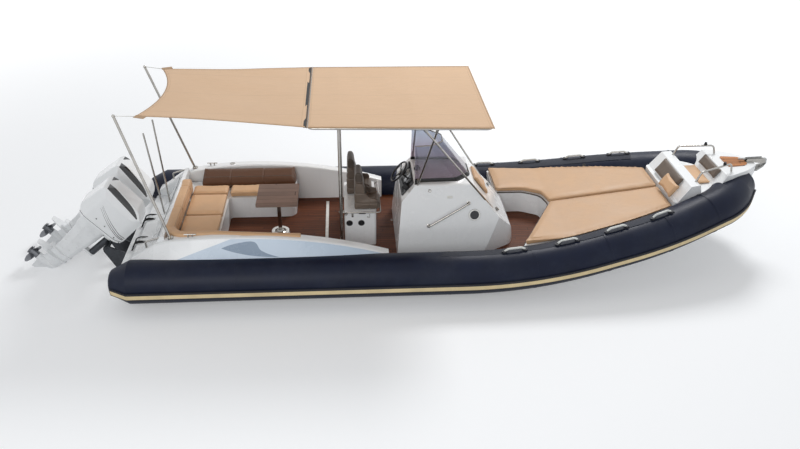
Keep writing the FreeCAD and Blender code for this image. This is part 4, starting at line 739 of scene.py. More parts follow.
def new_curve(name, dimensions, points):
    data = bpy.data.curves.new(name, "CURVE")
    data.dimensions = dimensions
    for line in points:
        spline = data.splines.new("POLY")
        spline.points.add(len(line) - 1)
        for point, place in zip(spline.points, line):
            point.co = (*place, 1.0)
    return data


def linked(name, data):
    made = bpy.data.objects.new(name, data)
    bpy.context.scene.collection.objects.link(made)
    return made


def curve_mesh(name, lines, radius=0.01, profile=None, cyclic=False, resolution=3, scales=None):
    """Mesh of round bars, or of a profile carried upright, along lines of points."""
    data = new_curve(name, "3D", lines)
    data.twist_mode = "Z_UP"
    data.use_fill_caps = True
    for spline in data.splines:
        spline.use_cyclic_u = cyclic
        for point, scale in zip(spline.points, scales or ()):
            point.radius = scale
    helpers = []
    if profile is None:
        data.bevel_depth = radius
        data.bevel_resolution = resolution
    else:
        shape = new_curve(name + " profile", "2D", [[(x, y, 0) for x, y in profile]])
        shape.splines[0].use_cyclic_u = True
        helpers.append(linked(name + " profile", shape))
        data.bevel_mode = "OBJECT"
        data.bevel_object = helpers[0]
    helpers.append(linked(name + " line", data))
    graph = bpy.context.evaluated_depsgraph_get()
    graph.update()
    mesh = bpy.data.meshes.new_from_object(helpers[-1].evaluated_get(graph))
    mesh.name = name
    for helper in helpers:
        bpy.data.objects.remove(helper)
    bm = bmesh.new()
    bm.from_mesh(mesh)
    bmesh.ops.remove_doubles(bm, verts=bm.verts, dist=1e-5)
    bmesh.ops.recalc_face_normals(bm, faces=bm.faces)
    bm.to_mesh(mesh)
    bm.free()
    return mesh


def add_line(name, lines, radius, finish="polished steel", angle=50.0, slot=None, **shape):
    """Piece made of bars or of a profile along lines."""
    return add_piece(name, curve_mesh(name, lines, radius, **shape), finish, angle, slot=slot)


def rounded(points, radius=None, steps=10, closed=False):
    """Points of a route whose corners are arcs, of one radius or as large as the runs allow."""
    pts = [Vector(p) for p in points]
    count = len(pts)
    result = [] if closed else [pts[0]]
    for i in (range(count) if closed else range(1, count - 1)):
        corner = pts[i]
        back, ahead = pts[i - 1] - corner, pts[(i + 1) % count] - corner
        cut = CORNER_SHARE * min(back.length, ahead.length)
        back.normalize()
        ahead.normalize()
        half = back.angle(ahead) / 2
        if half > 1.56:
            result.append(corner)
            continue
        if radius is not None:
            cut = min(cut, radius / math.tan(half))
        bend = cut * math.tan(half)
        centre = corner + (back + ahead).normalized() * math.hypot(cut, bend)
        start, end = corner + back * cut - centre, corner + ahead * cut - centre
        for k in range(steps + 1):
            result.append(centre + start.slerp(end, k / steps).normalized() * bend if bend > 1e-6 else corner)
    if not closed:
        result.append(pts[-1])
    return result


def rounded_profile(half_width, half_height, radius):
    """Rounded rectangle as profile points."""
    corners = [(x * half_width, y * half_height, 0) for x, y in SQUARE]
    return [(p.x, p.y) for p in rounded(corners, radius, steps=4, closed=True)]


def divided(points, step):
    """The same line with more points on its long runs."""
    result = [points[0]]
    for a, b in zip(points, points[1:]):
        n = max(1, int((b - a).length / step))
        result += [a.lerp(b, (k + 1) / n) for k in range(n)]
    return result


def tube_line(side):
    line = divided(rounded(TUBE_ROUTE, steps=14), 0.12)
    return [Vector((p.x, side * p.y, p.z)) for p in line]


def tube_frames(side):
    """Stations of a tube: centre, outboard and upward directions."""
    line = tube_line(side)
    frames = []
    for before, p, after in zip(line[:1] + line, line, line[1:] + line[-1:]):
        ahead = (after - before).normalized()
        out = ahead.cross(Vector(UP)).normalized() * (-side)
        frames.append((p, out, ahead.cross(out).normalized() * side))
    return frames


def tube_at(side, x):
    """Point of a tube's centre line at x, and its forward direction."""
    line = tube_line(side)
    a, b = next(pair for pair in zip(line, line[1:]) if pair[0].x <= x <= pair[1].x)
    return a.lerp(b, (x - a.x) / (b.x - a.x)), (b - a).normalized()


def cone_lift(x):
    """How far the aft cone's skin lies inside the tube's full radius, as a negative lift."""
    return -CONE_FALL * min(1.0, max(0.0, (CONE_X - x) / CONE_LENGTH))


def skin_strip(name, side, low, high, middle, half, lift, finish, thickness=0.0015):
    """Strip on a tube's skin, at an angle from outboard and of a half width in angle."""
    bm = bmesh.new()
    steps = 6
    frames = [f for f in tube_frames(side) if low <= f[0].x <= high]
    if low < CONE_X:
        start, out, up = frames[0]
        frames = [(Vector((start.x * (1 - k / 5) + low * k / 5, start.y, start.z)), out, up)
                  for k in range(5, 0, -1)] + frames
    row = None
    for p, out, up in frames:
        reach = half * TUBE_R / (TUBE_R + cone_lift(p.x))
        places = []
        for k in range(steps + 1):
            angle = middle - reach + 2 * reach * k / steps
            places.append(p + (out * math.cos(angle) + up * math.sin(angle)) * (lift + cone_lift(p.x)))
        if row is None:
            row = [bm.verts.new(place) for place in places]
            edges = [bm.edges.new(pair) for pair in zip(row, row[1:])]
            continue
        made = bmesh.ops.extrude_edge_only(bm, edges=edges)["geom"]
        fresh = {g for g in made if isinstance(g, bmesh.types.BMVert)}
        edges = [g for g in made if isinstance(g, bmesh.types.BMEdge) and all(v in fresh for v in g.verts)]
        row = [next(v for v in fresh if (v.co - old.co).length < 1e-7) for old in row]
        for v, place in zip(row, places):
            v.co = place
    bmesh.ops.recalc_face_normals(bm, faces=bm.faces)
    centre = frames[len(frames) // 2][0]
    probe = min(bm.faces, key=lambda f: (f.calc_center_median() - centre).length)
    if probe.normal.dot(probe.calc_center_median() - centre) < 0:
        bmesh.ops.reverse_faces(bm, faces=bm.faces)
    bmesh.ops.solidify(bm, geom=bm.faces[:], thickness=thickness)
    return add_bmesh(name, bm, finish, angle=40.0)


def islands(node):
    """Merged copies of a node's solids, one bmesh each, in the order of their lowest x."""
    whole = bmesh.new()
    whole.from_mesh(NODES[node].data)
    bmesh.ops.remove_doubles(whole, verts=whole.verts, dist=1e-5)
    whole.verts.index_update()
    whole.verts.ensure_lookup_table()
    seen, groups = set(), []
    for vert in whole.verts:
        if vert not in seen:
            group = connected([vert])
            seen |= group
            groups.append({v.index for v in group})
    groups.sort(key=lambda g: min((round(whole.verts[i].co.x, 2), whole.verts[i].co.y) for i in g))
    copies = []
    for group in groups:
        bm = whole.copy()
        bm.verts.ensure_lookup_table()
        bmesh.ops.delete(bm, geom=[v for v in bm.verts if v.index not in group], context="VERTS")
        copies.append(bm)
    whole.free()
    return copies


def apply_modifiers(piece):
    """The piece's mesh becomes what its modifiers leave."""
    graph = bpy.context.evaluated_depsgraph_get()
    graph.update()
    mesh = bpy.data.meshes.new_from_object(piece.evaluated_get(graph))
    piece.modifiers.clear()
    old = piece.data
    piece.data = mesh
    bpy.data.meshes.remove(old)


def apply_modifier(piece, kind, **settings):
    modifier = piece.modifiers.new(kind.title(), kind)
    for key, value in settings.items():
        setattr(modifier, key, value)
    apply_modifiers(piece)


def rows_of(mesh, key):
    """Each vertex's place ("co") or direction ("normal") as one row."""
    values = numpy.empty(len(mesh.vertices) * 3)
    mesh.vertices.foreach_get(key, values)
    return values.reshape(-1, 3)


def place_vertices(mesh, places):
    mesh.vertices.foreach_set("co", places.ravel())
    mesh.update()


def push_out(mesh, amount):
    """Moves vertices along their directions, by one amount or one for each."""
    place_vertices(mesh, rows_of(mesh, "co") + rows_of(mesh, "normal") * amount)


def blow_up(made):
    """Cloth simulation that fills all these pieces at once, their movement capped."""
    scene = bpy.context.scene
    for piece, *_ in made:
        cloth = piece.modifiers.new("Cloth", "CLOTH")
        cloth.settings.quality = 5
        cloth.settings.mass = 0.4
        cloth.settings.use_pressure = True
        cloth.settings.uniform_pressure_force = PRESSURE
        cloth.settings.effector_weights.gravity = 0.0
        cloth.point_cache.frame_start = 1
        cloth.point_cache.frame_end = CLOTH_FRAMES
    for step in range(1, CLOTH_FRAMES + 1):
        scene.frame_set(step)
    graph = bpy.context.evaluated_depsgraph_get()
    for piece, cap, support, *_ in made:
        rest = rows_of(piece.data, "co")
        move = rows_of(piece.evaluated_get(graph).data, "co") - rest
        piece.modifiers.clear()
        length = numpy.linalg.norm(move, axis=1, keepdims=True)
        move *= numpy.minimum(1.0, cap / numpy.maximum(length, 1e-9))
        push = numpy.maximum(move @ support, 0.0)
        place_vertices(piece.data, rest + move - push[:, None] * support)
    scene.frame_set(1)


def soft_pieces(rows, finish):
    """Stuffed pieces from plain forms, blown up a little by cloth simulation.

    Each row: name, bmesh, voxel, cap on movement, direction of what it rests on, fill, nodes replaced.
    """
    made = []
    for name, bm, voxel, cap, support, fill, nodes in rows:
        piece = linked(name, mesh_from(name, bm))
        apply_modifier(piece, "REMESH", mode="VOXEL", voxel_size=voxel)
        apply_modifier(piece, "SMOOTH", factor=0.5, iterations=40 if fill < 0.6 else 14)
        push_out(piece.data, -cap * DRAWN_IN)
        made.append((piece, cap, numpy.array(support), fill, nodes))
    blow_up(made)
    for piece, _, _, fill, nodes in made:
        push_out(piece.data, numpy.array([[noise.noise(Vector(p) * 3.1) * 0.0035
                                           + noise.noise(Vector(p) * 11.0) * 0.0012]
                                          for p in rows_of(piece.data, "co")]))
        if len(piece.data.vertices) < FINE_MESH:
            apply_modifier(piece, "SUBSURF", levels=1, render_levels=1)
        piece.data.shade_smooth()
        dress(piece, finish, BOAT, None)
        if nodes:
            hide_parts(*nodes)
    return [piece for piece, *_ in made]


def ribbed(piece, places, axis, depth, width):
    """Stitched channels pressed into a soft piece at places along an axis."""
    along = rows_of(piece.data, "co") @ numpy.array(axis, float)
    drop = sum(numpy.exp(-((along - p) / width) ** 2) for p in places)
    push_out(piece.data, -(depth * numpy.minimum(drop, 1.0))[:, None])


def cut_loops(piece, place, normal):
    """Closed lines where a plane cuts a piece."""
    bm = bmesh.new()
    bm.from_mesh(piece.data)
    bmesh.ops.bisect_plane(bm, geom=bm.verts[:] + bm.edges[:] + bm.faces[:], plane_co=place, plane_no=normal,
                           clear_inner=True, clear_outer=True)
    loops, seen = [], set()
    for start in bm.verts:
        if start in seen or len(start.link_edges) != 2:
            continue
        loop, v, came = [], start, None
        while v is not None and v not in seen:
            seen.add(v)
            loop.append(v.co.copy())
            nexts = [e for e in v.link_edges if e is not came and e.other_vert(v) not in seen]
            came = nexts[0] if nexts else None
            v = came.other_vert(v) if came else None
        if len(loop) > 8:
            loops.append(loop)
    bm.free()
    return loops


def piping(name, piece, place, normal, finish="tan piping", radius=None, slot=None):
    """Piping cord sewn round a piece where a plane cuts it."""
    lines = [loop[::2] if len(loop) > 120 else loop for loop in cut_loops(piece, place, normal)]
    if lines:
        add_line(name, lines, radius or sizes().piping, finish, 80.0, slot, cyclic=True, resolution=1)


# Piece groups

def dress_tubes():
    for name, side in SIDES.items():
        paint("tube fabric", "tube_" + name)
        skin_strip("crown_strip_" + name, side, 0.25, 4.15, math.radians(100), math.radians(16),
                   TUBE_R + 0.002, "ribbed strip")
        skin_strip("rub_rail_end_" + name, side, -4.56, CONE_X, RAIL_ANGLE, 0.17, RAIL_R - 0.001,
                   "rail rubber", 0.03)
        skin_strip("rub_stripe_" + name, side, -4.55, 5.36, RAIL_ANGLE, 0.10, RAIL_R + 0.003,
                   "rail stripe", 0.006)
        frames = tube_frames(side)

        def nearest(x):
            return min(frames, key=lambda f: abs(f[0].x - x))

        bm = bmesh.new()
        for x in SEAM_X:
            p, out, up = nearest(x)
            rows = ((TUBE_R + 0.0004, -0.018), (TUBE_R + 0.0016, -0.017), (TUBE_R + 0.0016, 0.017),
                    (TUBE_R + 0.0004, 0.018))
            add_turned(bm, rows, p, out.cross(up), 72)
        add_bmesh("tube_seams_" + name, bm, "tube fabric")
        bm = bmesh.new()
        tip = Vector((CONE_X - CONE_LENGTH, side * 1.475, 0.43))
        add_button(bm, tip, AFT, 0.004, (0.07, 0.004), 0.078, 40)
        ring_on(bm, tip, AFT, 0.10, 0.012, 0.006)
        add_bmesh("cone_cap_" + name, bm, "black rubber", slot="tube_fabric")
        bm = bmesh.new()
        for x in VALVE_X:
            p, out, up = nearest(x)
            direction = (out * math.cos(2.2) + up * math.sin(2.2)).normalized()
            ring_on(bm, p + direction * (TUBE_R - 0.001), direction, 0.035, 0.012, 0.010)
            add_button(bm, p + direction * (TUBE_R - 0.001), direction, 0.009, (0.022, 0.008), 0.024)
        add_bmesh("air_valves_" + name, bm, "black plastic")
    # Pale sleeves over the grab handles' arches
    lines = []
    for side in SIDES.values():
        for x in HANDLE_X:
            p, ahead = tube_at(side, x)
            up = ahead.cross(Vector(UP).cross(ahead).normalized())
            lines.append(rounded([p + up * (TUBE_R + high) + ahead * along for along, high in
                                  ((-0.157, 0.022), (-0.105, 0.055), (0.105, 0.055), (0.157, 0.022))], 0.07))
    add_line("handle_grips", lines, 0.0175, "handle rubber", 60.0)
    paint("rail rubber", "rub_rails", "tube_handles")


def dress_hull():
    paint("hull gelcoat", "hull")
    paint("sole planks", "sole")
    # White inspection strip across the sole, and flush hatches with their rings
    bm = bmesh.new()
    add_block(bm, (-1.425, -0.98, 0.3695), (-1.375, 0.95, 0.3745), 0.002)
    add_bmesh("sole_strip", bm, "white plastic", slot="deck_gelcoat")
    lines = []
    for x, y, length, width in ((-2.25, -0.45, 0.62, 0.5), (0.95, -0.9, 0.4, 0.24),
                                (-0.38, 0.25, 0.32, 0.42)):
        corners = [(x + i * length / 2, y + j * width / 2, 0.371) for i, j in SQUARE]
        lines.append(rounded(corners, 0.05, closed=True))
    add_line("hatch_joints", lines, 0.0028, "black rubber", 80.0, cyclic=True, resolution=1)
    bm = bmesh.new()
    for x, y in ((-2.02, -0.45), (0.80, -0.9), (-0.28, 0.25)):
        ring_on(bm, (x, y, 0.3702), UP, 0.028, 0.008, 0.0035, 24)
    add_bmesh("hatch_rings", bm, "polished steel")


def dress_cockpit():
    paint("deck gelcoat", "cockpit_moulding")
    paint("side panel", "side_panels")
    # Dark line of black rubber that follows the aft deck's edge
    crest, foot, off = Vector((-3.86, 0, 1.0)), Vector((-4.2, 0, 0.5)), Vector((-0.0012, 0, 0.0008))
    high, low = crest.lerp(foot, 0.26) + off, crest.lerp(foot, 0.93) + off
    side = Vector((0, 1.085, 0))
    add_line("deck_dark_line", [rounded([low - side, high - side, high + side, low + side], 0.12)], 0.0042,
             "black rubber", 80.0, resolution=1)
    # Lights along the near coaming's inner side, and a filler cap on the port coaming
    bm = bmesh.new()
    for x in (-2.75, -1.55):
        ring_on(bm, (x, -1.105, 0.66), TO_PORT, 0.032, 0.009, 0.006, 28)
        add_button(bm, (x, -1.105, 0.66), TO_PORT, 0.003, (0.022, 0.003), 0.024)
    add_bmesh("cockpit_lights", bm, "polished steel")
    bm = bmesh.new()
    cap = (-3.05, 1.20, 1.0374)
    ring_on(bm, cap, UP, 0.045, 0.012, 0.006, 32)
    add_button(bm, cap, UP, 0.005, (0.030, 0.005), 0.033, 28)
    add_bmesh("filler_cap", bm, "polished steel")


def dress_sofa():
    paint("deck gelcoat", "sofa_base")
    seats = soft_pieces([("sofa_seat_%d" % i, bm, 0.014, 0.016, DOWN, 0.7, ("sofa_seats",) if i == 1 else ())
                         for i, bm in enumerate(islands("sofa_seats"), 1)], "tan vinyl")
    for i, seat in enumerate(seats, 1):
        piping("sofa_seat_piping_%d" % i, seat, (0, 0, 0.838), UP)
    rests = islands("sofa_backrests")
    aft, port = soft_pieces([("sofa_backrest_aft", rests[0], 0.016, 0.016, AFT, 0.7, ("sofa_backrests",)),
                             ("sofa_backrest_port", rests[1], 0.016, 0.016, TO_PORT, 0.7, ())], "tan vinyl")
    # The port backrest takes a dark brown copy of its vinyl, painted shade over the whole piece
    port.data.materials[0] = finish_named("shaded vinyl")
    ribbed(aft, (-0.245, 0.45), TO_PORT, 0.010, 0.009)
    ribbed(port, (-2.49, -3.05), FORWARD, 0.010, 0.009)
    piping("backrest_piping_aft", aft, (-3.69, 0, 0.99), (1, 0, 0.25))
    # Its piping takes the darker brown piping, to go with the painted shade
    piping("backrest_piping_port", port, (0, 0.80, 0.86), (0, -1, 0.6), "brown piping", slot="tan_vinyl")
    # Padded roll that carries on round the near corner and narrows along the coaming
    route = rounded([(-3.75, -0.46, 0.984), (-3.75, -1.085, 0.984), (-3.05, -1.125, 1.034),
                     (-2.60, -1.190, 1.046), (-1.75, -1.185, 0.988)], 0.3, steps=12)
    line = [q for q in divided(route, 0.05) if q.y < -0.84]
    scales = [ROLL_NARROW + (1 - ROLL_NARROW) * min(1.0, max(0.0, (-2.85 - q.x) / 0.8)) for q in line]
    mesh = curve_mesh("near_roll", [line], profile=rounded_profile(ROLL_HALF, 0.040, 0.026), scales=scales)
    bm = bmesh.new()
    bm.from_mesh(mesh)
    bpy.data.meshes.remove(mesh)
    soft_pieces([("near_roll", bm, 0.013, 0.006, DOWN, 0.8, ())], "tan vinyl")
    seam = []
    for before, q, after, scale in zip(line, line[1:], line[2:], scales[1:]):
        inward = Vector(UP).cross((after - before).normalized()).normalized()
        seam.append(q + inward * (ROLL_HALF * scale - 0.004) + Vector((0, 0, 0.012 * scale)))
    add_line("near_roll_piping", [seam], 0.0035, "tan piping", 80.0, resolution=1)


def dress_table():
    paint("table planks", "table_top")
    paint("polished steel", "table_pedestal")
    low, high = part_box("table_top")
    bm = bmesh.new()
    x, y = (low.x + high.x) / 2, (low.y + high.y) / 2
    ring_on(bm, (x, y, 0.411), UP, 0.145, 0.05, 0.010, 48)
    ring_on(bm, (x, y, 0.415), UP, 0.052, 0.016, 0.03)
    add_bmesh("table_foot_trim", bm, "white plastic")
    bm = bmesh.new()
    for x in (low.x + 0.05, high.x - 0.10):
        add_block(bm, (x, low.y + 0.06, low.z - 0.022), (x + 0.05, high.y - 0.06, low.z - 0.0005), 0.004)
    add_bmesh("table_battens", bm, "table planks")


def dress_helm():
    paint("deck gelcoat", "helm_box")
    names = ("port", "starboard")
    seats = soft_pieces([("helm_cushion_" + name, islands("helm_seat_" + name)[0], 0.013, 0.012, DOWN, 0.75,
                          ("helm_seat_" + name,)) for name in names], "brown vinyl")
    for seat, name in zip(seats, names):
        seat.data.materials[0] = finish_named("seat vinyl")
        ribbed(seat, (1.12, 1.29, HEADREST_Z), UP, 0.012, 0.009)
        low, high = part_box("helm_seat_" + name)
        ribbed(seat, (low.x + 0.24, low.x + 0.33), FORWARD, 0.005, 0.008)
        for k, y in enumerate((low.y + 0.052, high.y - 0.052)):
            piping("helm_piping_%s_%d" % (name, k), seat, (0, y, 0), TO_PORT, "brown piping", 0.004)
    # Speakers, latch, vent and hook on the starboard face
    face = HELM_FACE_Y
    bm = bmesh.new()
    for x in (-1.02, -0.83):
        ring_on(bm, (x, face, 0.79), TO_STARBOARD, 0.052, 0.012, 0.008)
        add_turned(bm, ((AXIS_R, 0.006), (0.012, 0.0055), (0.016, 0.001), (0.036, 0.004), (0.041, 0.0)),
                   (x, face, 0.79), TO_STARBOARD)
    add_bmesh("helm_speakers", bm, "black plastic")
    bm = bmesh.new()
    add_block(bm, (-0.985, face - 0.006, 0.90), (-0.955, face, 0.985), 0.003)
    add_block(bm, (-0.978, face - 0.016, 0.915), (-0.962, face - 0.005, 0.945), 0.004)
    screws(bm, [(-0.97, face - 0.006, 0.975), (-0.97, face - 0.006, 0.905)], TO_STARBOARD)
    add_bmesh("helm_latch", bm, "polished steel")
    bm = bmesh.new()
    add_block(bm, (-0.87, face - 0.005, 0.955), (-0.76, face, 0.985), 0.002)
    for k in range(4):
        z = 0.959 + 0.0065 * k
        add_block(bm, (-0.863, face - 0.009, z), (-0.767, face - 0.004, z + 0.0035), 0.0008, 1)
    add_bmesh("helm_vent", bm, "black plastic")
    hook = [(-0.70, 0.01, 0.955), (-0.70, -0.035, 0.955), (-0.70, -0.035, 0.905), (-0.735, -0.035, 0.905),
            (-0.735, -0.035, 0.93)]
    add_line("helm_hook", [rounded([(x, face + y, z) for x, y, z in hook], 0.014)], 0.004)
    # Grab rail round the box, under the seats
    rail = rounded([(-1.075, -0.505, 0.965), (-1.075, -0.575, 1.012), (-0.525, -0.575, 1.012),
                    (-0.525, 0.50, 1.012), (-0.575, 0.505, 0.965)], 0.05)
    add_line("helm_rail", [rail], 0.0115)
    bm = bmesh.new()
    ring_on(bm, (-1.075, face, 0.966), TO_STARBOARD, 0.028, 0.017, 0.006, 24)
    ring_on(bm, (-0.60, 0.5005, 0.955), TO_PORT, 0.028, 0.017, 0.006, 24)
    add_bmesh("helm_rail_feet", bm, "polished steel")
    # Locker doors on the aft and forward faces
    lines, bm = [], bmesh.new()
    for x, direction in ((-1.1004, AFT), (-0.5896, FORWARD)):
        for y in (-0.24, 0.22):
            corners = [(x, y + i * 0.19, 0.68 + j * 0.22) for i, j in SQUARE]
            lines.append(rounded(corners, 0.04, closed=True))
        for y in (-0.08, 0.38):
            ring_on(bm, (x, y, 0.72), direction, 0.022, 0.022, 0.006, 24)
    add_line("locker_joints", lines, 0.003, "gasket", 80.0, cyclic=True, resolution=1)
    add_bmesh("locker_catches", bm, "polished steel")


def dash_place(along, across, out=0.0125):
    """Point over the dash slope: along it from its middle, to port, and off its face."""
    slope = (DASH_HIGH - DASH_LOW).normalized()
    normal = Vector((-slope.z, 0, slope.x))
    place = (DASH_LOW + DASH_HIGH) / 2 + slope * along + normal * out + Vector((0, across, 0))
    return place, normal, aim(normal, place, slope)


def on_wall(side, x, z, out=0.0005):
    """Point over a leaning wall of the console, and the wall's outward direction."""
    wall = Vector((0, side, CONSOLE_LEAN)).normalized()
    y = CONSOLE_Y + side * (CONSOLE_FOOT - CONSOLE_LEAN * (z - SOLE_Z))
    return Vector((x, y, z + 0.0004)) + wall * out, wall


def dress_console():
    paint("deck gelcoat", "console", "console_door")
    paint("polished steel", "console_handrail")
    paint("black plastic", "dash_panel", "throttle", "steering_wheel")
    paint("smoked screen", "windshield")
    paint("porthole glass", "porthole")
    # Instruments: two displays, round gauges with plain ticks, and switches
    bm, glass = bmesh.new(), bmesh.new()
    for across, width in ((-0.265, 0.24), (0.16, 0.20)):
        turn = dash_place(0.055, across)[2]
        for target, grow, out, bevel in ((bm, 0.0, 0.018, 0.006), (glass, -0.014, 0.0205, 0.001)):
            half, tall = width / 2 + grow, 0.085 + grow
            add_block(target, (-half, -tall, 0.0), (half, tall, out), bevel, 2, turn)
    for k in range(4):
        turn = dash_place(-0.105, -0.40 + 0.052 * k)[2]
        add_block(bm, (-0.018, -0.012, 0.0), (0.018, 0.012, 0.009), 0.003, 2, turn)
    add_bmesh("dash_housings", bm, "black plastic")
    add_bmesh("dash_displays", glass, "display")
    bm, ticks = bmesh.new(), bmesh.new()
    for across in (-0.11, 0.01):
        place, normal, turn = dash_place(0.085, across)
        ring_on(bm, place, normal, 0.036, 0.006, 0.012)
        for k in range(11):
            add_block(ticks, (-0.001, 0.022, 0.0005), (0.001, 0.028, 0.0015), 0.0, 1,
                      turn @ Matrix.Rotation(math.radians(-130 + 26 * k), 4, "Z"))
    add_bmesh("gauge_rings", bm, "polished steel")
    add_bmesh("gauge_ticks", ticks, "white plastic")
    # Compass on the console's top
    bm = bmesh.new()
    add_turned(bm, ((0.055, 0.0), (0.052, 0.02), (0.04, 0.03), (0.038, 0.045), (0.025, 0.062),
                    (AXIS_R, 0.068)), (0.09, -0.05, 1.5006), UP, 36)
    add_bmesh("compass", bm, "black plastic")
    # Trims on the starboard wall
    bm = bmesh.new()
    for x, z, *ring in ((0.24, 1.405, 0.026, 0.012, 0.008), (0.230, 0.850, 0.032, 0.017, 0.006),
                        (0.860, 1.200, 0.032, 0.017, 0.006)):
        ring_on(bm, *on_wall(-1, x, z), *ring, 28)
    add_bmesh("console_rings", bm, "polished steel")
    bm = bmesh.new()
    place, wall = on_wall(-1, 0.56, 1.30)
    turn = aim(wall, place)
    add_block(bm, (-0.045, -0.022, 0.0), (0.045, 0.022, 0.006), 0.003, 2, turn)
    for k in range(3):
        y = -0.014 + 0.011 * k
        add_block(bm, (-0.036, y, 0.005), (0.036, y + 0.006, 0.009), 0.001, 1, turn)
    add_bmesh("console_vent", bm, "white plastic")
    bm = bmesh.new()
    centre, wall = on_wall(-1, 0.957, 1.010, 0.0)
    ring_on(bm, centre + wall * 0.009, wall, 0.094, 0.022, 0.006, 48)
    screws(bm, [centre + wall * 0.0135 + aim(wall).to_3x3() @ Vector((math.cos(a), math.sin(a), 0)) * 0.083
                for a in round_the_circle(6)], wall, 0.005)
    add_bmesh("porthole_ring", bm, "white plastic")
    # Door catch on the port wall
    bm = bmesh.new()
    place, wall = on_wall(1, 0.30, 0.88)
    ring_on(bm, place, wall, 0.028, 0.028, 0.007, 28)
    add_block(bm, (-0.006, -0.022, 0.006), (0.006, 0.022, 0.014), 0.003, 2, aim(wall, place))
    add_bmesh("door_catch", bm, "polished steel", body="console_door")
    # Cap on the wheel's hub
    place, normal, _ = dash_place(0.0, -0.05, 0.137)
    bm = bmesh.new()
    add_button(bm, place, normal, 0.010, (0.024, 0.008), 0.034, 32)
    add_bmesh("wheel_cap", bm, "polished steel", body="steering_wheel")
    # Seat cushion on the console's front
    out = Vector((0.795, 0, 0.606))
    cushion = soft_pieces([("console_seat_pad", islands("console_cushion")[0], 0.012, 0.014,
                            (-0.795, 0, -0.606), 0.75, ("console_cushion",))], "tan vinyl")[0]
    piping("console_pad_piping", cushion, Vector((0.93, 0, 1.5004)) + out * 0.034, out)
    # Screen's head rail and foot trim, between the outlines of its foot and head
    foot, head = (0.915, 0.7, 0.412, 0.2), (0.46, 0.28, 0.318, 0.13)
    for name, z, radius, finish in (("screen_rail", 2.073, 0.008, "polished steel"),
                                    ("screen_foot_trim", 1.508, 0.010, "black rubber")):
        share = (z - CONSOLE_TOP) / 0.58
        tip, bend, half, nose = (low + (high - low) * share for low, high in zip(foot, head))
        line = [(0.03, -half), (bend, 0.025 - half), (tip, -nose), (tip, nose), (bend, half - 0.025),
                (0.03, half)]
        add_line(name, [rounded([(x, CONSOLE_Y + y, z) for x, y in line], 0.11)], radius, finish, 60.0)


def shaped_grid(name, columns, rows, place):
    """Grid mesh whose corners' shares (0 to 1 each way) are put in place by a function."""
    bm = bmesh.new()
    bmesh.ops.create_grid(bm, x_segments=columns, y_segments=rows, size=0.5)
    for v in bm.verts:
        v.co = place(v.co.x + 0.5, v.co.y + 0.5)
    bmesh.ops.recalc_face_normals(bm, faces=bm.faces)
    if sum(f.normal.z for f in bm.faces) < 0:
        bmesh.ops.reverse_faces(bm, faces=bm.faces)
    return mesh_from(name, bm)


def canopy_place(u, v):
    """u runs forward, v to port. The cloth sinks between bars and turns down over its rim."""
    x, half, z = (a + (b - a) * u for a, b in zip(CANOPY_AFT, CANOPY_FWD))
    y = half * (2 * v - 1)
    sag = 0.0
    for a, b in zip(CANOPY_BARS, CANOPY_BARS[1:]):
        if a <= u <= b:
            s = (u - a) / (b - a)
            sag = 4 * s * (1 - s) * (b - a)
    across = 1 - (2 * v - 1) ** 4
    z += 0.007
    z -= sizes().canopy_sag * 1.6 * sag * across
    z -= 0.0015 * (1 + math.sin(9 * x + 4 * y)) * across
    edge = min(u * 2.65, (1 - u) * 2.65, v * 2 * half, (1 - v) * 2 * half)
    z -= 0.006 * max(0.0, 1 - edge / 0.03) ** 2
    return Vector((x, y, z))


def awning_place(u, v):
    """u runs from the hollow aft edge to the canopy, v to port."""
    off_middle = 1 - (2 * v - 1) ** 2
    aft_x = AWNING_AFT.x + 0.22 * off_middle
    x = aft_x + (CANOPY_AFT.x - 0.004 - aft_x) * u
    run = (x - AWNING_AFT.x) / (CANOPY_AFT.x - AWNING_AFT.x)
    bow = math.sin(math.pi * u)
    y = (AWNING_AFT.y + (AWNING_HEAD_HALF - AWNING_AFT.y) * u - 0.045 * bow) * (2 * v - 1)
    z = AWNING_AFT.z + (CANOPY_AFT.z - AWNING_AFT.z) * run + 0.006
    z += (0.004 * math.sin(7 * y + 3 * x) - sizes().awning_sag * off_middle) * bow
    return Vector((x, y, z))


def cloth_piece(name, columns, rows, place, node):
    piece = add_piece(name, shaped_grid(name, columns, rows, place), "canvas", 80.0)
    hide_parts(node)
    apply_modifier(piece, "SOLIDIFY", thickness=0.0022, offset=0.0)
    piece.data.shade_smooth()


def edge_line(place, along, fixed, lift=0.0):
    """Points just over a cloth's edge: along u or v at a fixed share of the other."""
    line = []
    for k in range(61):
        p = place(k / 60, fixed) if along == "u" else place(fixed, k / 60)
        line.append(p + Vector((0, 0, lift)))
    return line


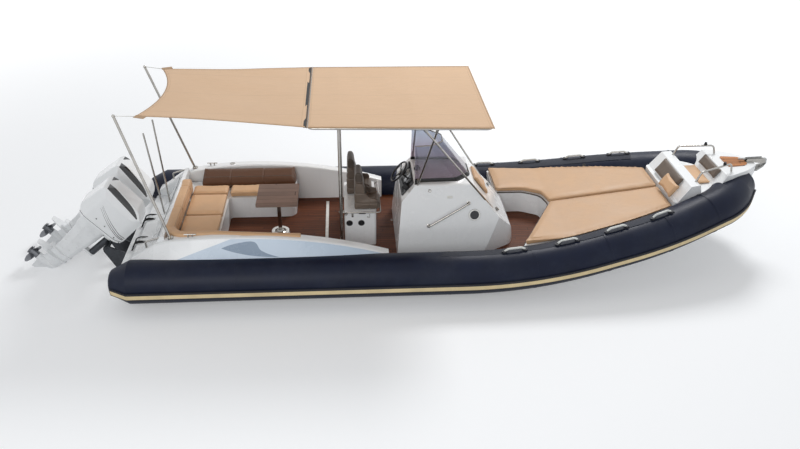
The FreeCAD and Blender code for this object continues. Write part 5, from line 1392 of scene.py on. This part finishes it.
def dress_shade():
    paint("polished steel", "ttop_frame", "awning_poles")
    cloth_piece("canopy_cloth", 66, 64, canopy_place, "ttop_canopy")
    cloth_piece("awning_cloth", 60, 60, awning_place, "aft_awning")
    # Doubled hems and their stitching
    hems = [edge_line(canopy_place, along, f) for along, f in
            (("u", 0.006), ("u", 0.994), ("v", 0.994), ("v", 0.006))]
    hems += [edge_line(awning_place, along, f) for along, f in (("u", 0.004), ("u", 0.996), ("v", 0.004))]
    add_line("canvas_hems", hems, 0.0055, "canvas hem", 80.0, resolution=2)
    stitches = [edge_line(place, along, f, 0.0008) for place, along, ends in
                ((canopy_place, "u", (0.022, 0.978)), (canopy_place, "v", (0.022, 0.978)),
                 (awning_place, "u", (0.022, 0.978)), (awning_place, "v", (0.022, 0.975))) for f in ends]
    add_line("canvas_stitching", stitches, 0.0014, "canvas hem", 80.0, resolution=1)
    # Zip strip between the two sheets, with a steel rope track
    line = [canopy_place(0.004, k / 30) + Vector((-0.012, 0, 0.004)) for k in range(31)]
    strip = [(-0.030, -0.0012), (0.030, -0.0012), (0.030, 0.0012), (-0.030, 0.0012)]
    add_line("zip_strip", [line], 0.0, "black rubber", 60.0, profile=strip)
    add_line("zip_track", [[p + Vector((0.030, 0, 0.004)) for p in line]], 0.006)
    # Knuckles on the struts, and rings and screws on the legs
    bm = bmesh.new()
    for side in SIDES.values():
        for foot, head in (((1.4, side * 0.4, 0.9385), (0.05, side * 1.2364, 2.735)),
                           ((0.047, side * 0.455, CONSOLE_TOP), (0.25, side * 1.2409, 2.733))):
            start, end = Vector(foot) + Vector((0, CONSOLE_Y, 0)), Vector(head)
            way = (end - start).normalized()
            add_rod(bm, end - way * 0.085, end - way * 0.028, 0.021)
            add_rod(bm, start + way * 0.05, start + way * 0.11, 0.021)
        leg = Vector((-1.15, side * 0.555, 0))
        ring_on(bm, leg + Vector((0, 0, 2.60)), UP, 0.034, 0.010, 0.03, 32)
        screws(bm, [leg + Vector((0.043 * math.cos(a), 0.043 * math.sin(a), 0.3786))
                    for a in round_the_circle(4, 0.6)], UP, 0.005)
    add_bmesh("frame_knuckles", bm, "cast steel")
    # Webbing at the awning's corners
    bm = bmesh.new()
    for side in SIDES.values():
        turn = aim(UP, (-3.96, side * 0.96, 2.866), FORWARD) @ Matrix.Rotation(0.35 * side, 4, "Z")
        add_block(bm, (-0.045, -0.005, -0.003), (0.045, 0.16, 0.003), 0.0015, 1, turn)
    add_bmesh("awning_webbing", bm, "canvas hem")


def open_run(keep, loop):
    """The longest unbroken run of a loop's points that a test keeps."""
    flags = [keep(p) for p in loop]
    if all(flags):
        return loop + loop[:1]
    if not any(flags):
        return []
    start = next(i for i in range(len(loop)) if flags[i] and not flags[i - 1])
    run, best = [], []
    for p in loop[start:] + loop[:start]:
        if keep(p):
            run.append(p)
        else:
            best, run = max(best, run, key=len), []
    return max(best, run, key=len)


def dress_bow():
    paint("deck gelcoat", "sunpad_base", "bow_moulding")
    paint("nose planks", "nose_pad")
    # The sunpads take a darker copy of the cushion vinyl: painted shade
    pads = soft_pieces([("sunpad_cushion_" + name, islands("sunpad_" + name)[0], 0.0125, 0.018, DOWN, 0.55,
                         ("sunpad_" + name,)) for name in SIDES], "pad vinyl")
    rise = math.atan2(1.095 - 0.85, 4.2 - 2.35)
    cuts = (((2.3, 0, 0.828), UP, lambda p: p.x < PAD_BEND_X),
            ((2.4, 0, 0.833), (-math.sin(rise), 0, math.cos(rise)), lambda p: p.x >= PAD_BEND_X))
    for pad, name in zip(pads, SIDES):
        lines = [open_run(keep, loop) for place, normal, keep in cuts
                 for loop in cut_loops(pad, place, normal)]
        add_line("sunpad_piping_" + name, [line for line in lines if len(line) > 4], 0.006, "tan piping",
                 80.0, resolution=1)
    # The aft and forward bow backrests take the brown vinyl as painted shade; the step pad between them takes
    # the tan vinyl
    rows = [(name, bm, 0.012, 0.012, support, 0.75, nodes) for bm, (name, support, nodes) in
            zip(islands("bow_cushions"), (("bow_rest_aft", (0.82, 0, -0.57), ("bow_cushions",)),
                                          ("bow_step_pad", DOWN, ()),
                                          ("bow_rest_forward", (0.84, 0, -0.55), ())))]
    soft_pieces(rows, "brown vinyl")[1].data.materials[0] = finish_named("tan vinyl")
    # Loose cushion that leans on the aft bow slope
    lean, centre = Vector((-0.82, 0, 0.57)).normalized(), (4.215, -0.33, 1.262)
    bm = bmesh.new()
    add_block(bm, (-0.13, -0.26, -0.032), (0.13, 0.26, 0.032), 0.018, 3, aim(lean, centre, TO_PORT))
    loose = soft_pieces([("loose_cushion", bm, 0.011, 0.02, (0.82, 0, -0.57), 0.8, ())], "tan vinyl")[0]
    piping("loose_cushion_piping", loose, centre, lean, radius=0.004)
    # Dark gasket under the pads round the recess
    rim = rounded([(x, y, 0.752) for x, y in
                   ((1.52, 0.452), (1.98, 0.452), (2.27, 0.302), (2.345, 0.0), (1.665, -1.262))], 0.22)
    add_line("recess_gasket", [rim], 0.0, "gasket", 60.0, profile=rounded_profile(0.007, 0.011, 0.005))
    paint("polished steel", "anchor_roller", "bow_rails")
    paint("cast steel", "anchor")
    # Side lamps on the bow rails
    bm, glass = bmesh.new(), bmesh.new()
    for side in SIDES.values():
        place = (5.05, side * 0.378, 1.642)
        add_turned(bm, ((AXIS_R, 0.0), (0.027, 0.0), (0.030, 0.008), (0.026, 0.014), (AXIS_R, 0.014)),
                   place, UP, 24)
        add_turned(glass, ((0.020, 0.014), (0.023, 0.024), (0.020, 0.040), (0.010, 0.048), (AXIS_R, 0.050)),
                   place, UP, 24)
    add_bmesh("bow_lamps", bm, "black plastic")
    add_bmesh("bow_lamp_glass", glass, "porthole glass")


def dress_stern():
    paint("polished steel", "cleats", "stern_rails", "stern_poles", "bow_eye", "stern_eyes")


def dress_engines():
    for name, side in SIDES.items():
        paint(cowl_paint(side), "engine_cowl_" + name)
        paint("leg paint", "engine_leg_" + name)
        paint("bracket metal", "engine_clamp_" + name, "engine_swivel_" + name)
        paint("engine block", "engine_block_" + name)
        paint("prop steel", "propeller_" + name)
        # Plugs down both flanks of the cowl
        turn = Matrix.Rotation(REST_TILT, 4, "Y")
        upright = Matrix.Translation((TILT_X, side * ENGINE_Y, TILT_Z)) @ turn
        bm = bmesh.new()
        for flank in (-1, 1):
            for x, z in ((-0.478, 0.375), (-0.306, 0.361), (-0.081, 0.30), (0.030, 0.285)):
                add_button(bm, upright @ Vector((x, flank * 0.2515, z)), (0, flank, 0), 0.004,
                           (0.008, 0.0035), 0.0105, 16)
        add_bmesh("cowl_plugs_" + name, bm, "black plastic", body="engine_" + name)
        # Rigging hoses over the deck's end to the clamp, each from its gland
        lines, bm = [], bmesh.new()
        for shift in (-0.10, -0.06, 0.07):
            y = side * ENGINE_Y + shift
            route = rounded([(-4.285, y, 0.474), (-4.40, y + 0.01, 0.478), (-4.475, y + 0.005, 0.455),
                             (-4.515, y - 0.01, 0.36), (-4.56, y - 0.01, 0.27)], 0.07)
            lines.append(divided(route, 0.03))
            ring_on(bm, route[0] + Vector((0.012, 0, -0.012)), (-0.3, 0, 1), 0.024, 0.014, 0.012, 20)
        add_line("rigging_hoses_" + name, lines, 0.011, "black rubber", 70.0, resolution=2)
        add_bmesh("hose_glands_" + name, bm, "polished steel")


def dress_stage():
    scene = bpy.context.scene
    bm = bmesh.new()
    bmesh.ops.create_grid(bm, x_segments=1, y_segments=1, size=400.0)
    floor = linked("floor", mesh_from("floor", bm))
    finish = Finish("pale floor", Roughness=0.9, Base_Color=colour(222, 224, 226))
    away = finish.node("VectorMath", {0: finish.place}, operation="LENGTH").outputs["Value"]
    glow = finish.math("MULTIPLY_ADD", finish.step(away, 6.0, 24.0), 0.6, 0.25)
    finish.set(Emission_Color=(1, 1, 1, 1), Emission_Strength=finish.times(finish.background_seen(), glow))
    floor.data.materials.append(finish.material)

    scene.world = bpy.data.worlds.new("studio")
    scene.world.use_nodes = True
    tree = Tree(scene.world.node_tree)
    tree.tree.nodes.clear()
    strength = tree.math("MULTIPLY_ADD", tree.background_seen(), 0.52, 0.48)
    backdrop = tree.node("Background", {"Color": (0.97, 0.98, 1.0, 1), "Strength": strength})
    tree.node("OutputWorld", {"Surface": backdrop.outputs[0]})

    settings = scene.stage_settings
    for name, place, size, power in (("key lamp", (5.5, 8.5, 13.0), 5.0, settings.key_power),
                                     ("fill lamp", (-5.0, -13.0, 8.0), 8.0, settings.fill_power)):
        data = bpy.data.lights.new(name, "AREA")
        data.shape = "DISK"
        data.size = size
        data.energy = power
        linked(name, data).matrix_world = aim(Vector(place) - Vector((0, 0, 0.8)), place)

    yaw, pitch, roll = (math.radians(angle) for angle in CAMERA_ANGLES)
    ahead = Vector((math.sin(yaw) * math.cos(pitch), math.cos(yaw) * math.cos(pitch), -math.sin(pitch)))
    right = Vector((math.cos(yaw), -math.sin(yaw), 0))
    up = right.cross(ahead)
    turn = Matrix((right * math.cos(roll) + up * math.sin(roll), up * math.cos(roll) - right * math.sin(roll),
                   -ahead)).transposed().to_4x4()
    data = bpy.data.cameras.new("camera")
    data.sensor_width = SENSOR
    data.lens = LENS
    camera = linked("camera", data)
    camera.matrix_world = Matrix.Translation(CAMERA_PLACE) @ turn
    scene.camera = camera
    scene.view_settings.view_transform = "Standard"


class BOAT_OT_tubes(bpy.types.Operator):
    """Air tubes with their strips, seams, stripe and valves"""
    bl_idname = "boat.tubes"
    bl_label = "Tubes"

    def execute(self, context):
        dress_tubes()
        return {"FINISHED"}


class BOAT_OT_hull(bpy.types.Operator):
    """Hull and planked sole with its hatches"""
    bl_idname = "boat.hull"
    bl_label = "Hull and sole"

    def execute(self, context):
        dress_hull()
        return {"FINISHED"}


class BOAT_OT_cockpit(bpy.types.Operator):
    """Cockpit moulding, side panels and aft deck"""
    bl_idname = "boat.cockpit"
    bl_label = "Cockpit moulding"

    def execute(self, context):
        dress_cockpit()
        return {"FINISHED"}


class BOAT_OT_sofa(bpy.types.Operator):
    """Sofa base, cushions, backrests and the near roll"""
    bl_idname = "boat.sofa"
    bl_label = "Sofa"

    def execute(self, context):
        dress_sofa()
        return {"FINISHED"}


class BOAT_OT_table(bpy.types.Operator):
    """Table with its planks and foot"""
    bl_idname = "boat.table"
    bl_label = "Table"

    def execute(self, context):
        dress_table()
        return {"FINISHED"}


class BOAT_OT_helm(bpy.types.Operator):
    """Helm box and its two seats"""
    bl_idname = "boat.helm"
    bl_label = "Helm seats"

    def execute(self, context):
        dress_helm()
        return {"FINISHED"}


class BOAT_OT_console(bpy.types.Operator):
    """Console, dash, wheel, screen and front cushion"""
    bl_idname = "boat.console"
    bl_label = "Console"

    def execute(self, context):
        dress_console()
        return {"FINISHED"}


class BOAT_OT_shade(bpy.types.Operator):
    """Canopy and awning cloth on their frame and poles"""
    bl_idname = "boat.shade"
    bl_label = "Canopy and awning"

    def execute(self, context):
        dress_shade()
        return {"FINISHED"}


class BOAT_OT_bow(bpy.types.Operator):
    """Sunpads, bow moulding, rests and anchor"""
    bl_idname = "boat.bow"
    bl_label = "Bow"

    def execute(self, context):
        dress_bow()
        return {"FINISHED"}


class BOAT_OT_stern(bpy.types.Operator):
    """Cleats, rails, poles and tow eyes"""
    bl_idname = "boat.stern"
    bl_label = "Stern fittings"

    def execute(self, context):
        dress_stern()
        return {"FINISHED"}


class BOAT_OT_engines(bpy.types.Operator):
    """Outboard engines with their paint and small parts"""
    bl_idname = "boat.engines"
    bl_label = "Engines"

    def execute(self, context):
        dress_engines()
        return {"FINISHED"}


class BOAT_OT_stage(bpy.types.Operator):
    """Floor at the waterline, soft lamps and camera"""
    bl_idname = "boat.stage"
    bl_label = "Stage"

    def execute(self, context):
        dress_stage()
        return {"FINISHED"}


OPERATORS = (BOAT_OT_tubes, BOAT_OT_hull, BOAT_OT_cockpit, BOAT_OT_sofa, BOAT_OT_table, BOAT_OT_helm,
             BOAT_OT_console, BOAT_OT_shade, BOAT_OT_bow, BOAT_OT_stern, BOAT_OT_engines, BOAT_OT_stage)


class BOAT_PT_panel(bpy.types.Panel):
    bl_label = "Boat"
    bl_idname = "BOAT_PT_panel"
    bl_space_type = "VIEW_3D"
    bl_region_type = "UI"
    bl_category = "Boat"

    def draw(self, context):
        for name, group in GROUPS:
            for key in group.__annotations__:
                self.layout.prop(getattr(context.scene, name), key)
        for operator in OPERATORS:
            self.layout.operator(operator.bl_idname)


CLASSES = (BoatColours, BoatSizes, StageSettings) + OPERATORS + (BOAT_PT_panel,)
GROUPS = (("boat_colours", BoatColours), ("boat_sizes", BoatSizes), ("stage_settings", StageSettings))


def register():
    for cls in CLASSES:
        bpy.utils.register_class(cls)
    for name, cls in GROUPS:
        setattr(bpy.types.Scene, name, PointerProperty(type=cls))


def unregister():
    for name, _ in GROUPS:
        delattr(bpy.types.Scene, name)
    for cls in reversed(CLASSES):
        bpy.utils.unregister_class(cls)


def main():
    register()
    for build in GROUP_MAKERS:
        build()
    for operator in OPERATORS:
        group, action = operator.bl_idname.split(".")
        getattr(getattr(bpy.ops, group), action)()


if __name__ == "__main__":
    main()
